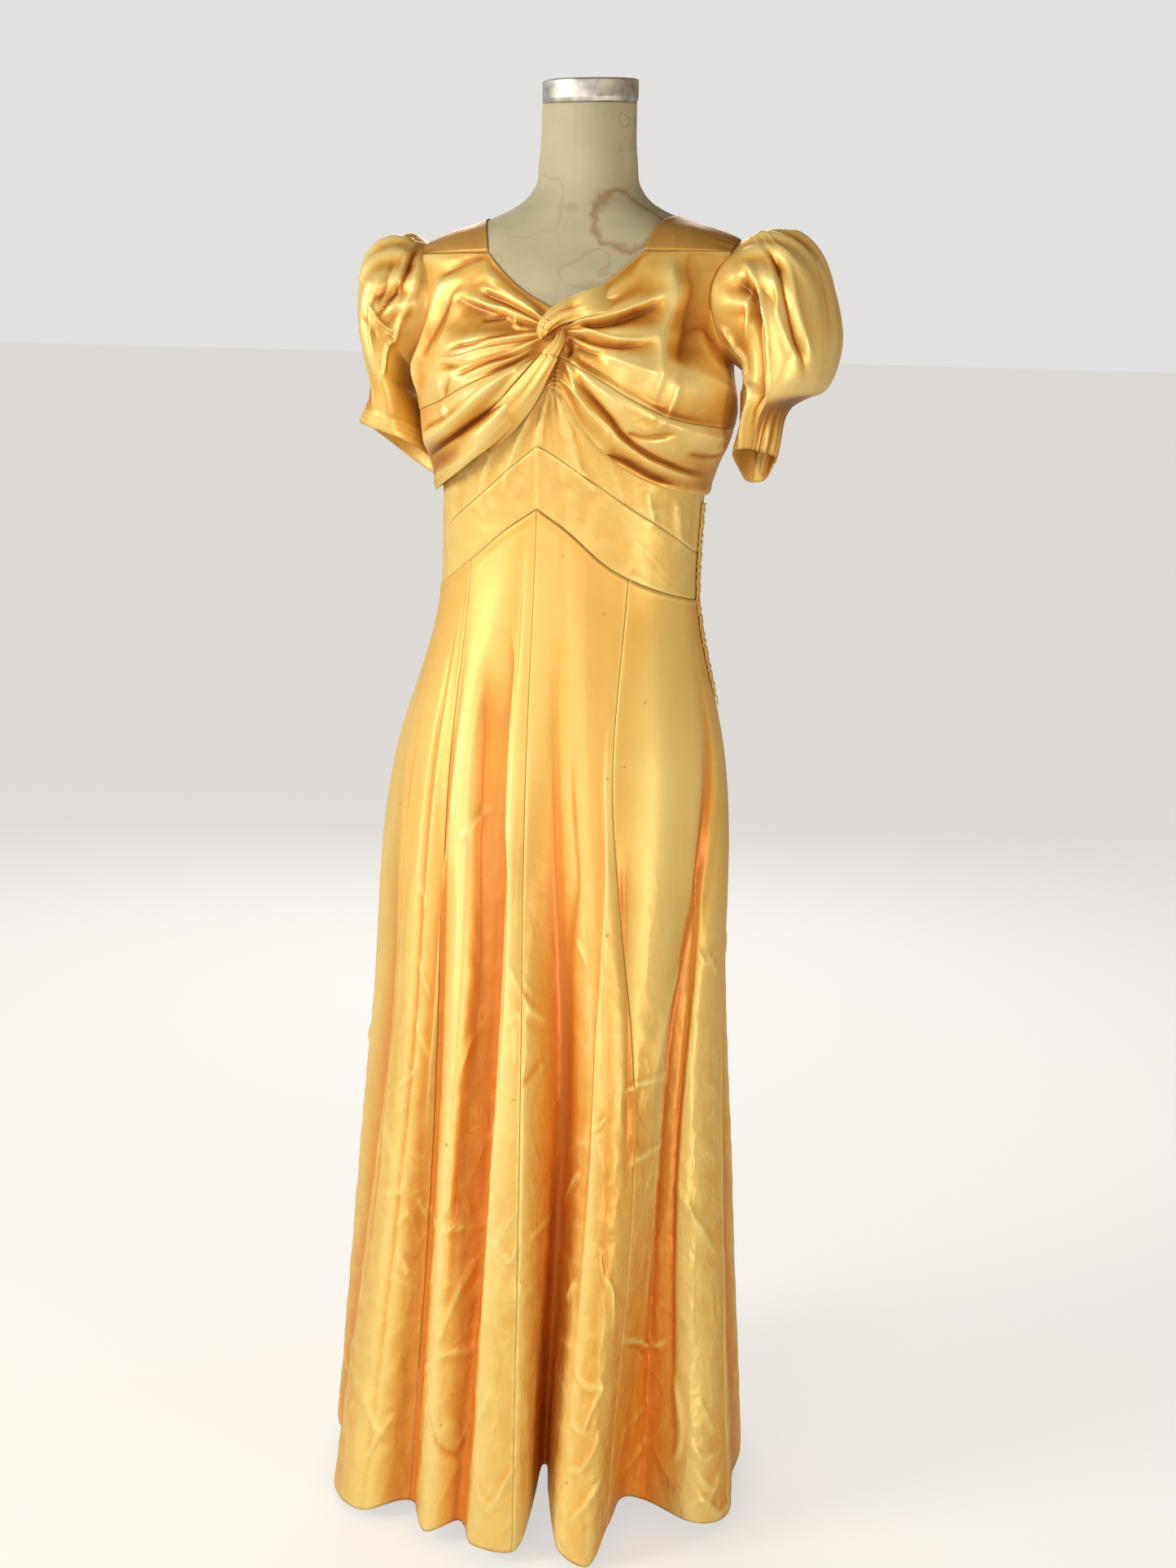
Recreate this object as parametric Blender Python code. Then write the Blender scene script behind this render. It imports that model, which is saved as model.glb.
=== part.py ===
"""A full-length satin evening gown on a limbless dress form with a metal neck cap and a stand.

Metres, +Z up. The gown's front faces -Y and the wearer's left is +X. The origin is on the
floor, under the middle of the stand's foot. Angles go round the form from 0 at the front,
and grow towards +X.
"""

import math

import bpy
import numpy as np

# Cloth
WALL = 0.0015  # thickness of one layer of heavy satin with its turnings
EASE = 0.0006  # air between the shoulders and the cloth that lies on them
SHRINK = 0.0014  # how much slimmer the form is than the cloth's own shape below the shoulders
SEAM = 0.0004  # gap between two pieces that are sewn together
STEP = 1e-4  # step for slopes that are taken by difference

# Form and stand
NECK_TOP = 1.569
CAP_RADIUS = 0.0520
CAP_HEIGHT = 0.0245
NECK_SHIFT = 0.003  # how far the neck stands to the wearer's left of the hem's middle
CAP_TILT = 0.05  # rise for each metre back: the neck leans forward by 3 degrees
SHOULDER_TILT = 0.030  # rise for each metre to the wearer's left, from the bust up
FORM_BOTTOM = 0.80
POLE_RADIUS = 0.0125
FOOT = {"arms": 4, "reach": 0.150, "half": 0.014, "turn": 30.0, "tip": 0.011, "hub": 0.034}
ROUNDED_SQUARE = 2.3  # exponent of a torso section, 2 being an ellipse
NECK_START = 1.47  # height from which a section is a plain ellipse

# Heights and angles of the seams
PEAK = -8.0  # angle of both chevron peaks: the front is turned a little to the wearer's right
SIDE = 97.0  # angle of the side seams, left and, negated, right
YOKE = 1.412  # height of the seams at the front and back of the shoulder yokes
YOKE_IN, YOKE_OUT = 47.0, 78.0  # angles where the yoke seam meets the neckline and the armhole
YOKE_BULGE = (0.016, 0.0055)  # how far its neck edge and its armhole edge curve out over the shoulder
ARMHOLE = {"height": 1.362, "rise": 0.062, "reach": 0.060}  # centre, and its two radii
V_POINT = {"angle": 0.0, "height": 1.352}
KNOT = {"angle": 1.0, "height": 1.330}
WAIST_BACK = 1.038

# Sections of the bare form: height, half width, depth to the front, depth to the back, centre x
FORM = np.array([
    (0.800, 0.146, 0.096, 0.108, -0.003),
    (0.860, 0.158, 0.106, 0.118, -0.003),
    (0.920, 0.157, 0.109, 0.116, -0.004),
    (0.980, 0.150, 0.106, 0.104, -0.006),
    (1.040, 0.1425, 0.102, 0.092, -0.006),
    (1.100, 0.1420, 0.100, 0.088, -0.0055),
    (1.160, 0.1440, 0.103, 0.090, -0.004),
    (1.200, 0.148, 0.108, 0.094, -0.0025),
    (1.240, 0.155, 0.114, 0.098, -0.001),
    (1.280, 0.164, 0.118, 0.102, 0),
    (1.320, 0.170, 0.115, 0.105, 0),
    (1.360, 0.175, 0.105, 0.106, 0),
    (1.392, 0.179, 0.094, 0.104, 0),
    (1.412, 0.180, 0.085, 0.097, 0),
    (1.423, 0.172, 0.080, 0.092, 0),
    (1.434, 0.150, 0.075, 0.086, 0),
    (1.444, 0.118, 0.070, 0.080, 0),
    (1.454, 0.092, 0.066, 0.075, 0.001),
    (1.465, 0.072, 0.061, 0.069, 0.002),
    (1.479, 0.0590, 0.056, 0.062, 0.003),
    (1.510, 0.0530, 0.052, 0.055, 0.003),
    (1.569, 0.0505, 0.0505, 0.0505, 0.003),
])
BUST = {"angle": 34.0, "height": 1.285, "rise": 0.016, "across": 19.0, "tall": 0.042}

# Chevron seams: angle, height of the skirt seam, height of the midriff seam
CHEVRON = np.array([
    (-180.0, WAIST_BACK, 1.088),
    (-97.0, 1.041, 1.091),
    (-78.0, 1.047, 1.100),
    (-62.0, 1.063, 1.124),
    (-45.0, 1.088, 1.150),
    (-28.0, 1.117, 1.179),
    (PEAK, 1.143, 1.211),
    (13.0, 1.118, 1.188),
    (35.0, 1.083, 1.160),
    (57.0, 1.060, 1.130),
    (78.0, 1.047, 1.103),
    (97.0, 1.041, 1.091),
    (180.0, WAIST_BACK, 1.088),
])

# Bodice seams and edges on the front: angle, bust seam, bottom edge of the drape, top of the midriff
BODICE = np.array([
    (-97.0, 1.238, 1.158, 1.200),
    (-76.0, 1.243, 1.154, 1.204),
    (-55.0, 1.256, 1.172, 1.214),
    (-35.0, 1.276, 1.204, 1.232),
    (-18.0, 1.293, 1.236, 1.256),
    (0.0, 1.304, 1.272, 1.284),
    (18.0, 1.290, 1.232, 1.256),
    (35.0, 1.268, 1.196, 1.232),
    (55.0, 1.248, 1.172, 1.214),
    (76.0, 1.238, 1.162, 1.204),
    (97.0, 1.234, 1.160, 1.200),
])

# Folds that fan out from the knot: side (-1 the wearer's right), slope in degrees above
# level, height in mm, half width in degrees
FAN = np.array([
    (-1, 34, 6.0, 6), (-1, 18, 5.0, 5), (-1, -9, 5.0, 6), (-1, -26, 5.5, 5),
    (1, 32, 5.0, 7), (1, 18, 6.0, 5), (1, -2, 6.0, 6), (1, -22, 4.0, 5),
])
# Rolls of the drape below the bust seam: side, slope below level, height in mm, half width
ROLLS = np.array([
    (-1, -40, 11.0, 6), (-1, -54, 12.0, 6),
    (1, -36, 6.5, 6), (1, -48, 7.5, 7), (1, -62, 5.0, 6),
])

# Flutes of the skirt, round from the centre back: angle at the waist, angle at the hip, relief
# there in mm, angle and radius in mm at mid height, angle and radius at the hem, hem off the floor
HIP, MID = 0.86, 0.55
FLUTE_NAMES = (
    "centre_back", "back_1", "back_1_in", "back_2", "back_2_in", "side_right", "side_right_in",
    "front_a", "front_a_end", "gore_right", "front_b", "front_b_in", "front_c", "centre_front",
    "front_c_in", "front_d_start", "front_d", "gore_left", "recess", "front_e_in", "front_e", "side_left",
    "side_left_in", "back_6", "back_5_in", "back_5", "back_4_in", "back_4",
)
FLUTES = np.array([
    (-180, -180, -1, -180, 187, -181, 226, 28),
    (-168, -168, 1, -167, 205, -166, 260, 14),
    (-156, -155, -1, -153, 185, -150, 222, 28),
    (-138, -137, 1, -135, 206, -133, 260, 14),
    (-116, -114, -1, -110, 189, -110, 224, 28),
    (-97, -92, 7, -86, 220, -86, 258, 26),
    (-75, -64, -1, -58, 196, -70, 240, 20),
    (-64, -56, 1, -50, 208, -55, 264, 4),
    (-52, -46, 0, -38, 204, -38, 264, 10),
    (-47, -39, -3, -31.5, 185, -29, 224, 24),
    (-33, -28, 1, -21, 198, -18, 252, 14),
    (-17, -12, -9, -9, 172, -10, 235, 28),
    (-12.5, -8, -1, -4.5, 199, -4, 257, 17),
    (PEAK, -2, 0, 3, 203, 6.5, 259, 15),
    (6, 12, -6, 16, 163, 13.5, 145, 62),
    (14, 20, -1, 25, 200, 18, 254, 15),
    (24, 27, 1, 30, 206, 24, 270, 5),
    (45, 36, 1, 38, 206, 31, 234, 28),
    (60, 54, 0, 50, 196, 42, 190, 36),
    (80, 80, -2, 61, 171, 50, 196, 26),
    (88, 88, 0, 68, 191, 56, 253, 17),
    (97, 98, 0, 84, 197, 68, 257, 7),
    (108, 109, -1, 97, 184, 86, 229, 14),
    (118, 118, 0, 109, 196, 103, 234, 20),
    (130, 130, -1, 124, 184, 118, 214, 28),
    (140, 140, 1, 137, 203, 133, 256, 14),
    (152, 152, -1, 150, 185, 148, 220, 28),
    (166, 166, 1, 165, 205, 163, 260, 14),
])
HIP_SECTION = {"half": 0.186, "front": 0.134, "back": 0.150}
FLARE_START = 0.6  # slope of the skirt at its seam, as a share of its slope down to the hip
DRIFT = {"hip": -0.012, "mid": -0.007, "hem": -0.009}  # how far the skirt hangs to the wearer's right
GORES = {  # the two flutes that a gore runs between
    "skirt_back_right": ("centre_back", "side_right"),
    "skirt_side_front_right": ("side_right", "gore_right"),
    "skirt_front_right": ("gore_right", "centre_front"),
    "skirt_front_left": ("centre_front", "gore_left"),
    "skirt_side_front_left": ("gore_left", "side_left"),
    "skirt_back_left": ("side_left", "centre_back"),
}

# Sleeve sections from the armhole to the hem: centre x, centre y, centre z, outer point's x and z
# from the centre, half depth front to back, drop of the back's inner edge
SLEEVE_LEFT = np.array([
    (0.197, 0.002, 1.367, 0.016, 0.073, 0.068, 0.000),
    (0.222, 0.004, 1.352, 0.036, 0.062, 0.083, 0.000),
    (0.233, 0.006, 1.308, 0.048, 0.034, 0.090, 0.004),
    (0.227, 0.004, 1.276, 0.044, 0.006, 0.084, 0.008),
    (0.207, -0.002, 1.252, 0.024, 0.010, 0.064, 0.016),
    (0.197, -0.003, 1.214, 0.019, -0.006, 0.052, 0.046),
])
SLEEVE_RIGHT = np.array([
    (-0.193, 0.002, 1.354, -0.012, 0.074, 0.070, 0.000),
    (-0.212, 0.004, 1.343, -0.028, 0.062, 0.080, 0.000),
    (-0.215, 0.006, 1.302, -0.030, 0.040, 0.083, 0.006),
    (-0.206, 0.006, 1.262, -0.026, 0.006, 0.075, 0.022),
    (-0.206, 0.010, 1.218, -0.043, 0.008, 0.074, 0.054),
])
BACK_DROP = {"turn": 240.0, "power": 1.5}  # where round a sleeve its lower edge hangs lowest
GATHER = {"count": 16, "height": 0.0022}

# Twist in front: a point of the path is an angle, a height, and the roll's half width and
# half depth there in mm
TWIST_BAND = np.array([
    (45.0, 1.399, 6.0, 2.0), (32.0, 1.374, 13.0, 4.0), (19.0, 1.357, 14.0, 6.5), (7.0, 1.344, 13.0, 8.5),
    (-2.0, 1.334, 11.5, 9.0), (-7.0, 1.323, 9.0, 7.5), (-9.0, 1.311, 5.0, 4.0),
])
TWIST_LOOP = np.array([
    (9.5, 1.328, 5.0, 4.5), (9.5, 1.317, 8.0, 7.5), (5.0, 1.303, 11.0, 8.0), (-2.0, 1.288, 12.0, 8.0),
    (-9.0, 1.274, 11.0, 6.5), (-16.0, 1.261, 6.0, 3.5),
])
ROLL_SEAT = {"band": 0.0019, "loop": 0.0040}  # how far a roll's facets are kept off the cloth below


def smooth(x, xs, ys):
    """A cubic through the points (xs, ys), each slope weighted from its two chords."""
    xs = np.asarray(xs, float)
    ys = np.asarray(ys, float)
    gap = np.diff(xs)
    chord = np.diff(ys) / gap
    slope = np.empty(len(xs))
    slope[0], slope[-1] = chord[0], chord[-1]
    slope[1:-1] = (chord[:-1] * gap[1:] + chord[1:] * gap[:-1]) / (gap[1:] + gap[:-1])
    k = np.clip(np.searchsorted(xs, x, side="right") - 1, 0, len(gap) - 1)
    f = np.clip((x - xs[k]) / gap[k], 0.0, 1.0)
    return hermite(ys[k], ys[k + 1], slope[k] * gap[k], slope[k + 1] * gap[k], f)


def hermite(a, b, slope_a, slope_b, f):
    """The cubic from a to b with those end slopes, at the share f of the way."""
    return (
        a * (1 + 2 * f) * (1 - f) ** 2 + slope_a * f * (1 - f) ** 2
        + b * f * f * (3 - 2 * f) - slope_b * f * f * (1 - f)
    )


def ramp(x, low, high):
    """0 below low, 1 above high, and a soft step between."""
    f = np.clip((x - low) / (high - low), 0.0, 1.0)
    return f * f * (3 - 2 * f)


def unit(v):
    return v / np.linalg.norm(v, axis=-1, keepdims=True)


def form_radius(theta, z):
    """Radius of the bare form: a rounded-square section with two soft bust mounds."""
    half, front, back = (smooth(z, FORM[:, 0], FORM[:, c]) for c in (1, 2, 3))
    depth = np.where(np.cos(theta) > 0, front, back)
    power = ROUNDED_SQUARE + (2.0 - ROUNDED_SQUARE) * ramp(z, YOKE, NECK_START)
    across = (np.abs(np.sin(theta)) / half) ** power
    along = (np.abs(np.cos(theta)) / depth) ** power
    radius = (across + along) ** (-1.0 / power)
    turn = np.degrees(np.abs((theta + math.pi) % (2 * math.pi) - math.pi))
    mound = np.exp(-(((turn - BUST["angle"]) / BUST["across"]) ** 2))
    return radius + BUST["rise"] * mound * np.exp(-(((z - BUST["height"]) / BUST["tall"]) ** 2))


def tilted(point):
    """The points with the wearer's left raised a little and the right lowered, from the bust up."""
    rise = SHOULDER_TILT * point[..., 0] * ramp(point[..., 2], 1.24, 1.40)
    return np.stack([point[..., 0], point[..., 1], point[..., 2] + rise], -1)


def form_point(theta, z):
    radius = form_radius(theta, z)
    centre = smooth(z, FORM[:, 0], FORM[:, 4])
    point = np.stack([centre + radius * np.sin(theta), -radius * np.cos(theta), z + 0.0 * theta], -1)
    return tilted(point)


def offset_point(theta, z, lift):
    """(points, normals) of the body's shape, moved out by lift along its normal."""
    theta, z = np.broadcast_arrays(np.asarray(theta, float), np.asarray(z, float))
    round_it = form_point(theta + STEP * 10, z) - form_point(theta - STEP * 10, z)
    up = form_point(theta, z + STEP) - form_point(theta, z - STEP)
    normal = unit(np.cross(round_it, up))
    return form_point(theta, z) + normal * np.asarray(lift)[..., None], normal


def dress_point(theta, z, lift=0.0):
    """(points, normals) of the cloth's outer face, raised by lift where it stands off the form."""
    return offset_point(theta, z, EASE + WALL + np.asarray(lift))


def chevron(angle, column):
    """Height of a chevron seam at an angle in degrees: two smooth arms that meet at the peak."""
    top = int(np.argmax(CHEVRON[:, column]))
    left, right = CHEVRON[: top + 1], CHEVRON[top:]
    return np.where(
        angle < PEAK,
        smooth(angle, left[:, 0], left[:, column]),
        smooth(angle, right[:, 0], right[:, column]),
    )


def bodice_line(angle, column):
    return smooth(angle, BODICE[:, 0], BODICE[:, column])


def fullness(z):
    """How far the bodice blouses out over the midriff: most of all just above it."""
    return 0.0030 + 0.012 * np.exp(-((z - 1.27) / 0.05) ** 2) + 0.010 * np.exp(-((z - 1.222) / 0.03) ** 2)


def side_lift(z):
    """The same at the side seams, where the back blouses with the front."""
    return fullness(z) * 0.9 * (1 - ramp(z, 1.25, 1.30)) * ramp(z, 1.150, 1.185)


def front_lift(angle, z):
    """How far the draped front stands off the form: soft fullness, fan folds and lower rolls."""
    side = np.where(angle < KNOT["angle"], -1, 1)
    across = np.radians(angle - KNOT["angle"]) * 0.125 * side
    rise = z - KNOT["height"]
    far = np.hypot(across, rise)
    slope = np.degrees(np.arctan2(rise, np.maximum(across, 1e-6)))
    bust_seam = bodice_line(angle, 1)
    aside = np.abs(angle)
    full = fullness(z) * (0.4 + 0.6 * ramp(aside, 20, 60)) * (1 - ramp(z, 1.36, YOKE))
    lift = full + (side_lift(z) - full) * ramp(aside, 78, SIDE)
    forward = form_radius(np.radians(angle), z) * np.cos(np.radians(angle))
    clear = np.hypot(forward / ARMHOLE["reach"], (z - ARMHOLE["height"]) / ARMHOLE["rise"])
    near_armhole = 1 - ramp(clear, 1.0, 1.4)
    upper = ramp(z, bust_seam - 0.008, bust_seam + 0.008)
    reach = ramp(far, 0.005, 0.035) * (1 - 0.75 * ramp(far, 0.06, 0.13)) * (1 - ramp(z, 1.385, YOKE))
    for turn, lean, height, half in FAN:
        ridge = np.exp(-(((slope - lean) / half) ** 2)) * np.where(side == turn, 1.0, 0.0)
        lift = lift + 0.001 * height * ridge * reach * upper
    reach = ramp(far, 0.005, 0.045) * (1 - 0.45 * ramp(far, 0.10, 0.22))
    for turn, lean, height, half in ROLLS:
        ridge = np.exp(-(((slope - lean) / half) ** 2)) * np.where(side == turn, 1.0, 0.0)
        lift = lift + 0.001 * height * ridge * reach * (1 - upper)
    lift = np.maximum(lift, 0.0030 * (1 - ramp(z, 1.27, 1.30)))
    return lift * (1 - near_armhole) + 0.0006 * ramp(z, 1.36, 1.40)


def armhole_point(phi, side):
    """Point of the armhole's line on the cloth: phi is 0 at the shoulder and 90 degrees in front."""
    y = -ARMHOLE["reach"] * np.sin(phi)
    z = ARMHOLE["height"] + ARMHOLE["rise"] * np.cos(phi)
    half, front, back = (smooth(z, FORM[:, 0], FORM[:, c]) for c in (1, 2, 3))
    depth = np.where(y < 0, front, back)
    x = half * (1 - (np.abs(y) / depth) ** ROUNDED_SQUARE) ** (1 / ROUNDED_SQUARE)
    return tilted(np.stack([side * x, y, z], -1))


def armhole_edge(share, front):
    """(angle, height) along the armhole from the yoke seam, at share 0, to the side seam at 1."""
    start = math.acos((YOKE - ARMHOLE["height"]) / ARMHOLE["rise"])
    phi = (start + (math.pi - start) * share) * (1 if front else -1)
    point = armhole_point(phi, 1)
    angle = np.degrees(np.arctan2(point[..., 0], -point[..., 1]))
    drift = (SIDE - 90.0) * ramp(share, 0.6, 1.0)
    return angle + drift, ARMHOLE["height"] + ARMHOLE["rise"] * np.cos(phi)


def ring_curve(points, t):
    """A closed curve through the points (rows of the first axis), t counted in points.

    Knots are spaced by the square root of the chords, so close points make no loops.
    """
    count = len(points)
    gap = np.maximum(np.linalg.norm(np.roll(points, -1, 0) - points, axis=-1), 1e-6) ** 0.5
    after = (np.roll(points, -1, 0) - points) / gap[:, None]
    before = np.roll(after, 1, 0)
    gap_before = np.roll(gap, 1)
    across = (np.roll(points, -1, 0) - np.roll(points, 1, 0)) / (gap + gap_before)[:, None]
    slope = before - across + after
    k = np.floor(t).astype(int)
    f = (t - k)[..., None]
    a, b = k % count, (k + 1) % count
    width = gap[a][..., None]
    return hermite(points[a], points[b], slope[a] * width, slope[b] * width, f)


def polar(angle, radius):
    return np.stack([radius * np.sin(np.radians(angle)), -radius * np.cos(np.radians(angle))], -1)


def turn_curve(column, t):
    """An angle of the flute table at t, which may run past the last flute."""
    rows = np.arange(-2, len(FLUTES) + 3)
    angle = FLUTES[rows % len(FLUTES), column] + 360.0 * (rows // len(FLUTES))
    return smooth(t, rows, angle)


def skirt_stations(t):
    """The four (x, y, z) points that a line of the skirt hangs through, from seam to hem."""
    waist = turn_curve(0, t)
    folded = (waist + 180.0) % 360.0 - 180.0
    top = dress_point(np.radians(waist), chevron(folded, 1))[0]
    across = (np.abs(np.sin(np.radians(FLUTES[:, 1]))) / HIP_SECTION["half"]) ** ROUNDED_SQUARE
    facing = np.where(np.abs(FLUTES[:, 1]) < 90, HIP_SECTION["front"], HIP_SECTION["back"])
    along = (np.abs(np.cos(np.radians(FLUTES[:, 1]))) / facing) ** ROUNDED_SQUARE
    hip_radius = (across + along) ** (-1 / ROUNDED_SQUARE) + 0.001 * FLUTES[:, 2]
    rise = ring_curve(FLUTES[:, 7:8] * 0.001, t)
    hip = ring_curve(polar(FLUTES[:, 1], hip_radius) + (DRIFT["hip"], 0.0), t)
    mid = ring_curve(polar(FLUTES[:, 3], 0.001 * FLUTES[:, 4]) + (DRIFT["mid"], 0.0), t)
    hem = ring_curve(polar(FLUTES[:, 5], 0.001 * FLUTES[:, 6]) + (DRIFT["hem"], 0.0), t)
    level = np.ones(t.shape + (1,))
    return [
        top,
        np.concatenate([hip, HIP * level], -1),
        np.concatenate([mid, MID * level], -1),
        np.concatenate([hem, rise], -1),
    ]


def skirt_point(t, h):
    """Point of the skirt: t goes round in flutes and h goes from the waist seam, 0, to the hem, 1."""
    stations = skirt_stations(t)
    z = stations[0][..., 2] + (stations[3][..., 2] - stations[0][..., 2]) * h
    heights = [s[..., 2] for s in stations]
    gaps = [a - b for a, b in zip(heights, heights[1:])]
    chords = [(b - a)[..., :2] / g[..., None] for a, b, g in zip(stations, stations[1:], gaps)]
    slopes = [chords[0] * FLARE_START]
    for i in (1, 2):
        total = (gaps[i - 1] + gaps[i])[..., None]
        slopes.append((chords[i - 1] * gaps[i][..., None] + chords[i] * gaps[i - 1][..., None]) / total)
    slopes.append(chords[2])
    out = np.zeros(z.shape + (2,))
    for i in range(3):
        low = heights[i + 1] if i < 2 else heights[3] - 1.0
        here = (z <= heights[i] + (1.0 if i == 0 else 0.0)) & (z > low)
        f = ((heights[i] - z) / gaps[i])[..., None]
        width = gaps[i][..., None]
        part = hermite(stations[i][..., :2], stations[i + 1][..., :2],
                       slopes[i] * width, slopes[i + 1] * width, f)
        out = np.where(here[..., None], part, out)
    return np.concatenate([out, z[..., None]], -1)


def skirt_surface(t, h):
    point = skirt_point(t, h)
    round_it = skirt_point(t + 0.004, h) - skirt_point(t - 0.004, h)
    down = skirt_point(t, np.minimum(h + 0.002, 1.0)) - skirt_point(t, np.maximum(h - 0.002, 0.0))
    return point, unit(np.cross(down, round_it))


def draw_in(points, amount=SEAM / 2):
    """The grid with each open edge moved inwards by amount, so that sewn pieces keep their gap."""
    moved = points.copy()
    for edge, inner in ((np.s_[0], np.s_[1]), (np.s_[-1], np.s_[-2])):
        moved[edge] = moved[edge] + unit(points[inner] - points[edge]) * amount
    for edge, inner in ((np.s_[:, 0], np.s_[:, 1]), (np.s_[:, -1], np.s_[:, -2])):
        moved[edge] = moved[edge] + unit(points[inner] - points[edge]) * amount
    return moved


def make_object(name, vertices, faces, finish):
    mesh = bpy.data.meshes.new(name)
    mesh.from_pydata(vertices.tolist(), [], faces)
    mesh.update()
    mesh.shade_smooth()
    mesh.set_sharp_from_angle(angle=math.radians(50))
    mesh.materials.append(finish)
    obj = bpy.data.objects.new(name, mesh)
    bpy.context.scene.collection.objects.link(obj)
    return obj


def grid_faces(rows, columns, start, closed, flip):
    """Quads of a grid of vertices, numbered row by row from start."""
    faces = []
    for i in range(rows - 1):
        for j in range(columns if closed else columns - 1):
            a = start + i * columns + j
            b = start + i * columns + (j + 1) % columns
            quad = (a, b, b + columns, a + columns)
            faces.append(quad[::-1] if flip else quad)
    return faces


def cloth(name, points, normals, finish, closed=False, thickness=WALL):
    """A wall whose outer face is the grid points and whose inner face lies thickness inside it."""
    rows, columns = points.shape[:2]
    inner = points - normals * thickness
    vertices = np.concatenate([points.reshape(-1, 3), inner.reshape(-1, 3)])
    i, j = rows // 2, columns // 2 - 1
    facing = np.cross(points[i, j + 1] - points[i, j], points[i - 1, j] - points[i, j])
    flip = np.dot(facing, normals[i, j]) > 0
    count = rows * columns
    faces = grid_faces(rows, columns, 0, closed, flip)
    faces += grid_faces(rows, columns, count, closed, not flip)
    rims = [[(0, j) for j in range(columns)], [(rows - 1, j) for j in range(columns)][::-1]]
    if not closed:
        rims[0] += [(i, columns - 1) for i in range(1, rows)]
        rims[0] += [(rows - 1, j) for j in range(columns - 2, -1, -1)]
        rims[0] += [(i, 0) for i in range(rows - 2, 0, -1)]
        rims = rims[:1]
    for rim in rims:
        around = [a * columns + b for a, b in rim]
        for k, a in enumerate(around):
            b = around[(k + 1) % len(around)]
            quad = (a, a + count, b + count, b)
            faces.append(quad[::-1] if flip else quad)
    return make_object(name, vertices, faces, finish)


def ruled(bottom, top, shares):
    """(angle, height) grids between two edges, each an array of (angle, height)."""
    shares = np.asarray(shares)[:, None]
    return tuple(bottom[:, c] * (1 - shares) + top[:, c] * shares for c in (0, 1))


def satin(name, colour, roughness=0.3):
    finish = bpy.data.materials.new(name)
    finish.use_nodes = True
    shader = finish.node_tree.nodes["Principled BSDF"]
    shader.inputs["Base Color"].default_value = colour
    shader.inputs["Roughness"].default_value = roughness
    return finish


def metal(name, colour, roughness):
    finish = satin(name, colour, roughness)
    finish.node_tree.nodes["Principled BSDF"].inputs["Metallic"].default_value = 1.0
    return finish


def turned(name, profile, segments, finish, tilt=(0.0, 0.0), shift=0.0):
    """A solid turned about an upright axis from a profile of (radius, height), tilted along X and Y."""
    angles = np.arange(segments) * 2 * math.pi / segments
    rings = [
        [(shift + r * math.sin(a), -r * math.cos(a),
          z + tilt[0] * (shift + r * math.sin(a)) - tilt[1] * r * math.cos(a))
         for a in angles]
        for r, z in profile
    ]
    vertices = np.array(rings).reshape(-1, 3)
    faces = grid_faces(len(profile), segments, 0, True, False)
    faces.append(tuple(range(segments))[::-1])
    faces.append(tuple(range(len(vertices) - segments, len(vertices))))
    return make_object(name, vertices, faces, finish)


def build_form(canvas, tin, iron):
    """The canvas torso, closed top and bottom, its tilted neck cap, the pole and the foot."""
    heights = np.array([FORM_BOTTOM, 0.83, 0.88, 0.94, 1.0, 1.06, 1.12, 1.17, 1.21, 1.245, 1.28,
                        1.315, 1.35, 1.375, 1.395, 1.412, 1.423, 1.434, 1.444, 1.454, 1.465,
                        1.479, 1.50, 1.53, NECK_TOP])
    segments = 40
    theta = np.arange(segments) * 2 * math.pi / segments
    inset = -SHRINK * (1 - ramp(heights, 1.36, 1.40)) * ramp(heights, FORM_BOTTOM, 0.88)
    grid = offset_point(theta[None, :], heights[:, None], inset[:, None] + 0 * theta)[0]
    grid[..., 2] += CAP_TILT * grid[..., 1] * ramp(heights, 1.50, NECK_TOP)[:, None]
    vertices = grid.reshape(-1, 3)
    faces = grid_faces(len(heights), segments, 0, True, False)
    faces.append(tuple(range(segments))[::-1])
    faces.append(tuple(range(len(vertices) - segments, len(vertices))))
    make_object("form_torso", vertices, faces, canvas)
    low = NECK_TOP + SEAM
    rim = 0.0012
    cap = [(CAP_RADIUS - rim, low), (CAP_RADIUS, low + rim), (CAP_RADIUS, low + CAP_HEIGHT - rim),
           (CAP_RADIUS - rim, low + CAP_HEIGHT)]
    turned("form_neck_cap", cap, 40, tin, (SHOULDER_TILT, CAP_TILT), NECK_SHIFT)
    turned("stand_pole", [(POLE_RADIUS, FOOT["hub"] + SEAM), (POLE_RADIUS, FORM_BOTTOM - SEAM)], 20, iron)
    build_foot(iron)


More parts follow.
